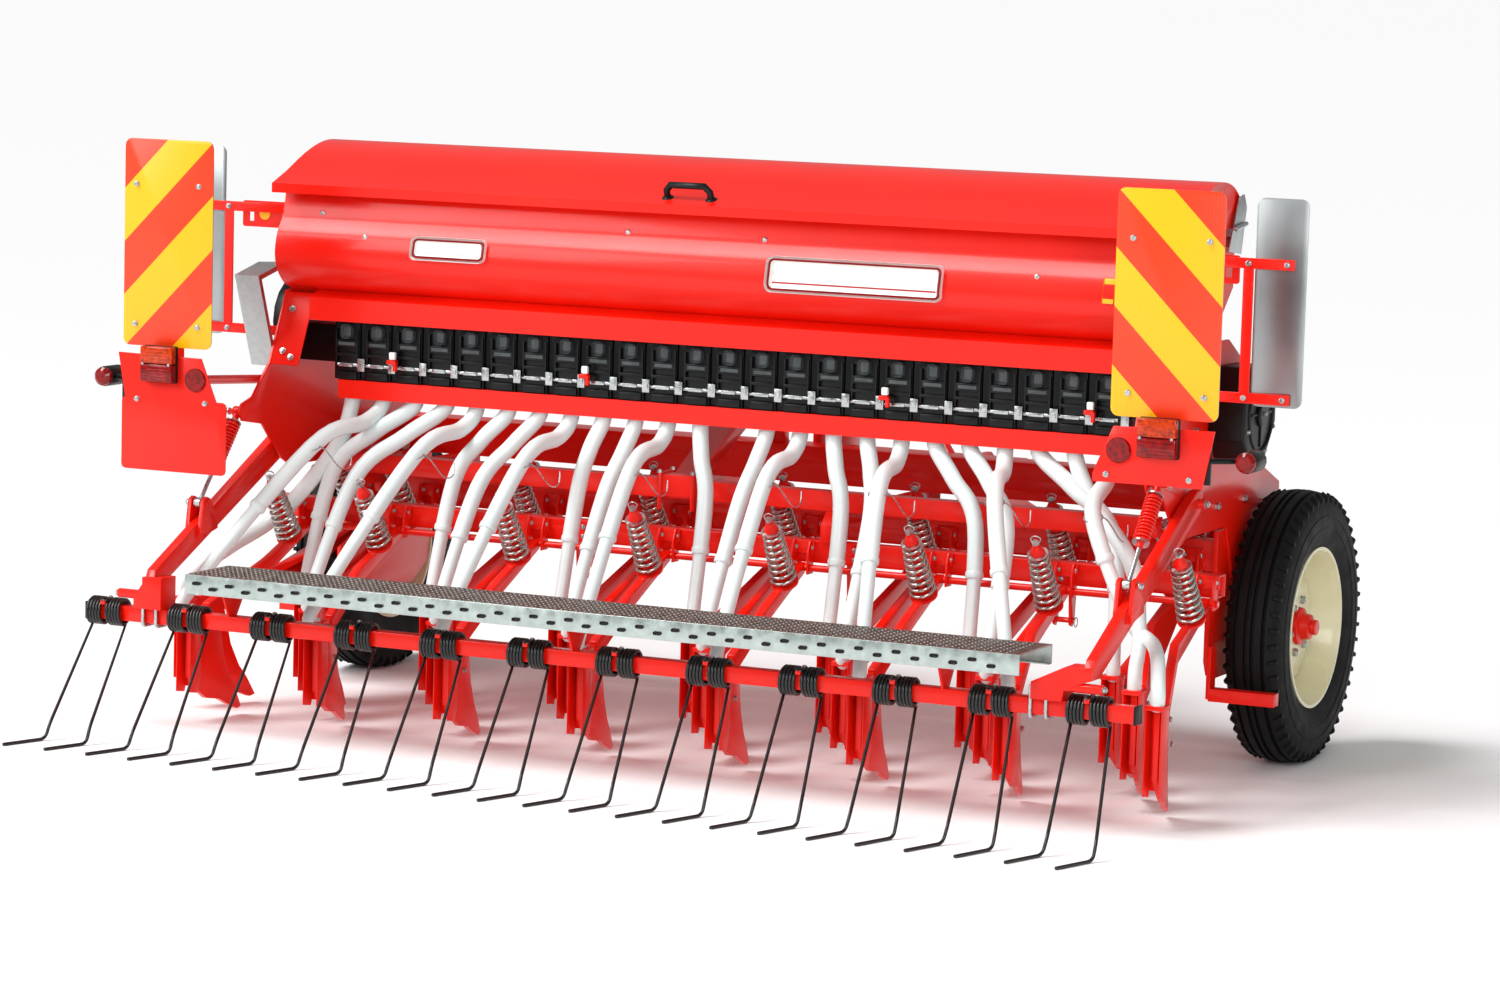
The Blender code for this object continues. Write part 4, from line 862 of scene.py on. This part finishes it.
# Moulded acrylic lenses over ribs: deep colour under a sharp gloss.
red_lens = finish("red_lens", "#960403", "#5c0202", 0.012, 0.004, 0.0002, (0.06, 0.14),
                  Coat_Weight=0.2, Specular_IOR_Level=0.3)
amber_lens = finish("amber_lens", "#d23c00", "#8a2000", 0.012, 0.004, 0.0002, (0.06, 0.14),
                    Coat_Weight=0.2, Specular_IOR_Level=0.3)
for side, hand in ((-1, "left"), (1, "right")):
    x = side * 1.394
    base = block((x, -0.5780, 0.941), (0.102, 0.011, 0.098), 0.004)
    base = settle(base, "tail_lamp_base_" + hand, "machine", black_plastic)
    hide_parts("tail_lamp_" + hand)
    halves = (("red", red_lens, 0.9185, 0.047, 0.902), ("amber", amber_lens, 0.9660, 0.045, 0.950))
    for colour, glass, middle, height, first_rib in halves:
        ribs = [block((x, -0.5930, middle), (0.098, 0.022, height), 0.004)]
        ribs += [block((x, -0.6035, first_rib + 0.0085 * k), (0.090, 0.0022, 0.003), 0.0008)
                 for k in range(5)]
        settle(gather(ribs), f"tail_lens_{colour}_{hand}", "machine", glass)
    spots = [facing((x + dx, -0.6040, 0.942), (0, -1, 0)) for dx in (-0.040, 0.040)]
    settle(repeat(hex_bolt(0.0035), spots), "lamp_screws_" + hand, "machine", bright_zinc)
    disc = wire([(side * 1.290, y, 0.905) for y in (-0.5725, -0.5765, -0.5790)], 0.031, 32,
                [1.0, 1.0, 0.93])
    settle(disc, "reflector_" + hand, "machine", red_lens)
    dress("side_lamp_" + hand, "machine", black_plastic, 0.001)
    glass = wire([(side * 1.598, y, 0.893) for y in (-0.5352, -0.545, -0.552)], 0.0255, 24, [1.0, 0.95, 0.62])
    settle(glass, "side_lens_rear_" + hand, "machine", red_lens)


# ---- Following harrow -------------------------------------------------------------------------------
# A square red bar carries twelve double spring tines of 9 mm black wire, held by U-bolts, and a
# galvanised walkboard. Flat arms hang it from the side plates, each under a sprung strut.
def bent(points, radius):
    """The line with each inner corner eased into a short curve."""
    points = [Vector(p) for p in points]
    line = [points[0]]
    for a, b, c in zip(points, points[1:], points[2:]):
        near = b + (a - b).normalized() * min(radius, (a - b).length * 0.45)
        far = b + (c - b).normalized() * min(radius, (c - b).length * 0.45)
        line += [near.lerp(b, t).lerp(b.lerp(far, t), t) for t in (0.0, 0.2, 0.4, 0.6, 0.8, 1.0)]
    return line + [points[-1]]


# Black lacquered spring steel: deep black with small sharp highlights.
black_steel = finish("black_lacquered_steel", "#0c0d0e", "#060707", 0.03, 0.0015, 0.00005, (0.28, 0.42),
                     Coat_Weight=0.2)
bar_y, bar_z, half = -0.731, 0.300, 0.020
bar = block((-0.040, bar_y, bar_z), (2.920, 2 * half, 2 * half), 0.004)
bar_ends = [block((x, bar_y, bar_z), (0.006, 0.046, 0.046), 0.002) for x in (-1.503, 1.423)]
stands = []
for x in (-1.070, -0.070, 0.930):
    low, high = bar_z + half, 0.4274
    web = ((bar_y - 0.018, low - 0.004), (bar_y + 0.018, low - 0.004), (bar_y + 0.095, high),
           (bar_y - 0.070, high))
    stands.append(eased(plate(web, x - 0.003, x + 0.003), 0.0008))
    stands.append(block((x, bar_y + 0.0125, high - 0.0025), (0.090, 0.165, 0.005), 0.001))
made = settle(gather([bar] + stands), "harrow_beam", "harrow", red_enamel)
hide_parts("harrow_bar")
settle(gather(bar_ends), "harrow_beam_caps", "harrow", black_plastic)

# Each pair of tines is one wire: two windings on the bar, joined by a loop behind its clip.
tine_pitch, wire_radius, winding_radius = 0.125, 0.0045, 0.0335
turns, steps = 4.5, 20
tines, clips, bolts = [], [], []
for pair in range(12):
    heels = [(2 * pair + k - 11.5) * tine_pitch for k in (0, 1)]
    centre = sum(heels) / 2 - 0.070
    for heel, side in zip(heels, (-1, 1)):
        inner, outer = centre + side * 0.009, centre + side * 0.050
        winding = []
        for k in range(int(turns * steps) + 1):
            angle = math.pi / 2 + math.tau * k / steps
            share = k / (turns * steps)
            winding.append(Vector((inner + (outer - inner) * share, bar_y + winding_radius * math.cos(angle),
                                   bar_z + winding_radius * math.sin(angle))))
        leg = [winding[-1], (heel + 0.004 - side * 0.002, -1.023, 0.042), (heel, -1.033, 0.0045),
               (heel - 0.040, -1.163, 0.0045)]
        tines.append(wire(winding + bent(leg, 0.018)[1:], wire_radius, 8))
    loop = [(centre - 0.009, bar_y, bar_z + winding_radius), (centre - 0.009, bar_y - 0.030, bar_z + 0.030),
            (centre + 0.009, bar_y - 0.030, bar_z + 0.030), (centre + 0.009, bar_y, bar_z + winding_radius)]
    tines.append(wire(bent(loop, 0.010), wire_radius, 8))
    clips.append(block((centre, bar_y - 0.012, bar_z + half + 0.006), (0.014, 0.044, 0.012), 0.002))
    bolts.append(facing((centre, bar_y + 0.006, bar_z + half + 0.0118), (0, 0, 1)))
settle(gather(tines), "spring_tines", "harrow", black_steel, 60)
settle(gather(clips), "tine_clips", "harrow", red_enamel)
settle(repeat(hex_bolt(0.007), bolts), "tine_bolts", "harrow", bright_zinc)
loops = []
for x in (1.160, 1.200, -1.285, -1.325):
    legs = [(x, bar_y - 0.026, 0.352), (x, bar_y - 0.026, bar_z - 0.026), (x, bar_y + 0.026, bar_z - 0.026),
            (x, bar_y + 0.026, 0.352)]
    loops.append(wire(bent(legs, 0.012), 0.005, 8))
settle(gather(loops), "bar_u_bolts", "harrow", bright_zinc, 60)

# Arms and struts. Each strut hangs from its pin, top, down to its foot on the arm.
strut_x, arm_pivot = 1.3065, (-0.070, 0.730)
strut_top, strut_foot = (-0.333, 0.802), (-0.520, 0.575)
for side, hand in ((-1, "left"), (1, "right")):
    dress("harrow_arm_" + hand, "harrow", red_enamel, 0.0010)
    top = Vector((side * strut_x, *strut_top))
    way = (Vector((side * strut_x, *strut_foot)) - top).normalized()
    dress("strut_tube_" + hand, "strut_tube_body_" + hand, red_enamel, 0.0008)
    dress("strut_rod_" + hand, "strut_rod_body_" + hand, bright_zinc, 0.0004)
    settle(coil(top + way * 0.038, way, 0.130, 13, 0.0185, 0.0185, 0.0034, 16, 8), "strut_spring_" + hand,
           "strut_tube_body_" + hand, red_enamel, 60)
    ends = [wire([top + way * a, top + way * (a + 0.003)], 0.0215, 20) for a in (0.033, 0.170)]
    settle(gather(ends), "strut_washers_" + hand, "strut_tube_body_" + hand, bright_zinc)
    spots = [facing((side * 1.3362, *arm_pivot), (side, 0, 0)),
             facing((side * 1.3322, *strut_top), (side, 0, 0))]
    settle(repeat(hex_bolt(0.010), spots), "strut_nuts_" + hand, "machine", bright_zinc)
    stub = 1.345 if side > 0 else -1.395
    spots = [facing((stub, -0.761, 0.356), (side, 0, 0)), facing((side * 1.3366, *strut_foot), (side, 0, 0))]
    settle(repeat(hex_bolt(0.009), spots), "arm_nuts_" + hand, "harrow", bright_zinc)


# ---- Walkboard ----------------------------------------------------------------------------------------
# A folded plank of galvanised sheet, standing on the harrow's bar. Its top is punched up into rows of
# grip collars, and its rear lip has two staggered rows of slots.
# Galvanised plank: pale, slightly green grey with soft 22 mm clouds.
board_metal = finish("galvanised_plank", "#c6d2ce", "#aebab6", 0.022, 0.003, 0.00006, (0.28, 0.46),
                     Metallic=1.0)
# The grip field: a browner, darker and rougher sheet over the whole top; inside the open collars it is
# painted shade where the punched holes are.
grip_metal = finish("grip_field_and_hole_shade", "#8d8883", "#5f5a55", 0.02, 0.002, 0.00008, (0.40, 0.60), Metallic=0.9)
# The dark seen through a slot: matt, nearly black.
shadow = finish("slot_shadow", "#1f1d1c", "#151413", 0.05, 0.002, 0.00002, (0.7, 0.8))
dress("walkboard", "harrow", board_metal, 0.0006)
bpy.ops.mesh.primitive_cone_add(vertices=8, radius1=0.0060, radius2=0.0042, depth=0.0030,
                                end_fill_type="NOTHING")
collar = bpy.context.object
pick(collar)
bpy.ops.object.mode_set(mode="EDIT")
bpy.ops.mesh.select_all(action="SELECT")
bpy.ops.mesh.solidify(thickness=0.0010)
bpy.ops.object.mode_set(mode="OBJECT")
grip_pitch, slot_pitch = 0.0205, 0.0490
spots = [Matrix.Translation((-1.135 + grip_pitch * i, -0.810 + grip_pitch * j + 0.01 * (i % 2), 0.4324))
         for i in range(111) for j in range(9)]
settle(repeat(collar, spots), "grip_collars", "harrow", grip_metal, 50)
hole = card(0.022, 0.009, 0.0044, 0.0006)
hole.location = (0, -0.8253, 0.404)
slots = [Matrix.Translation((-1.120 + slot_pitch * i, 0, 0.006 * (1 - 2 * (i % 2)))) for i in range(46)]
settle(repeat(hole, slots), "lip_slots", "harrow", shadow)
# A darker sheet over the top, seen inside the open collars as painted shade for the punched holes.
strip = block((0.0, -0.7195, 0.4313), (2.300, 0.196, 0.0005), 0.0001)
settle(strip, "grip_field", "harrow", grip_metal)
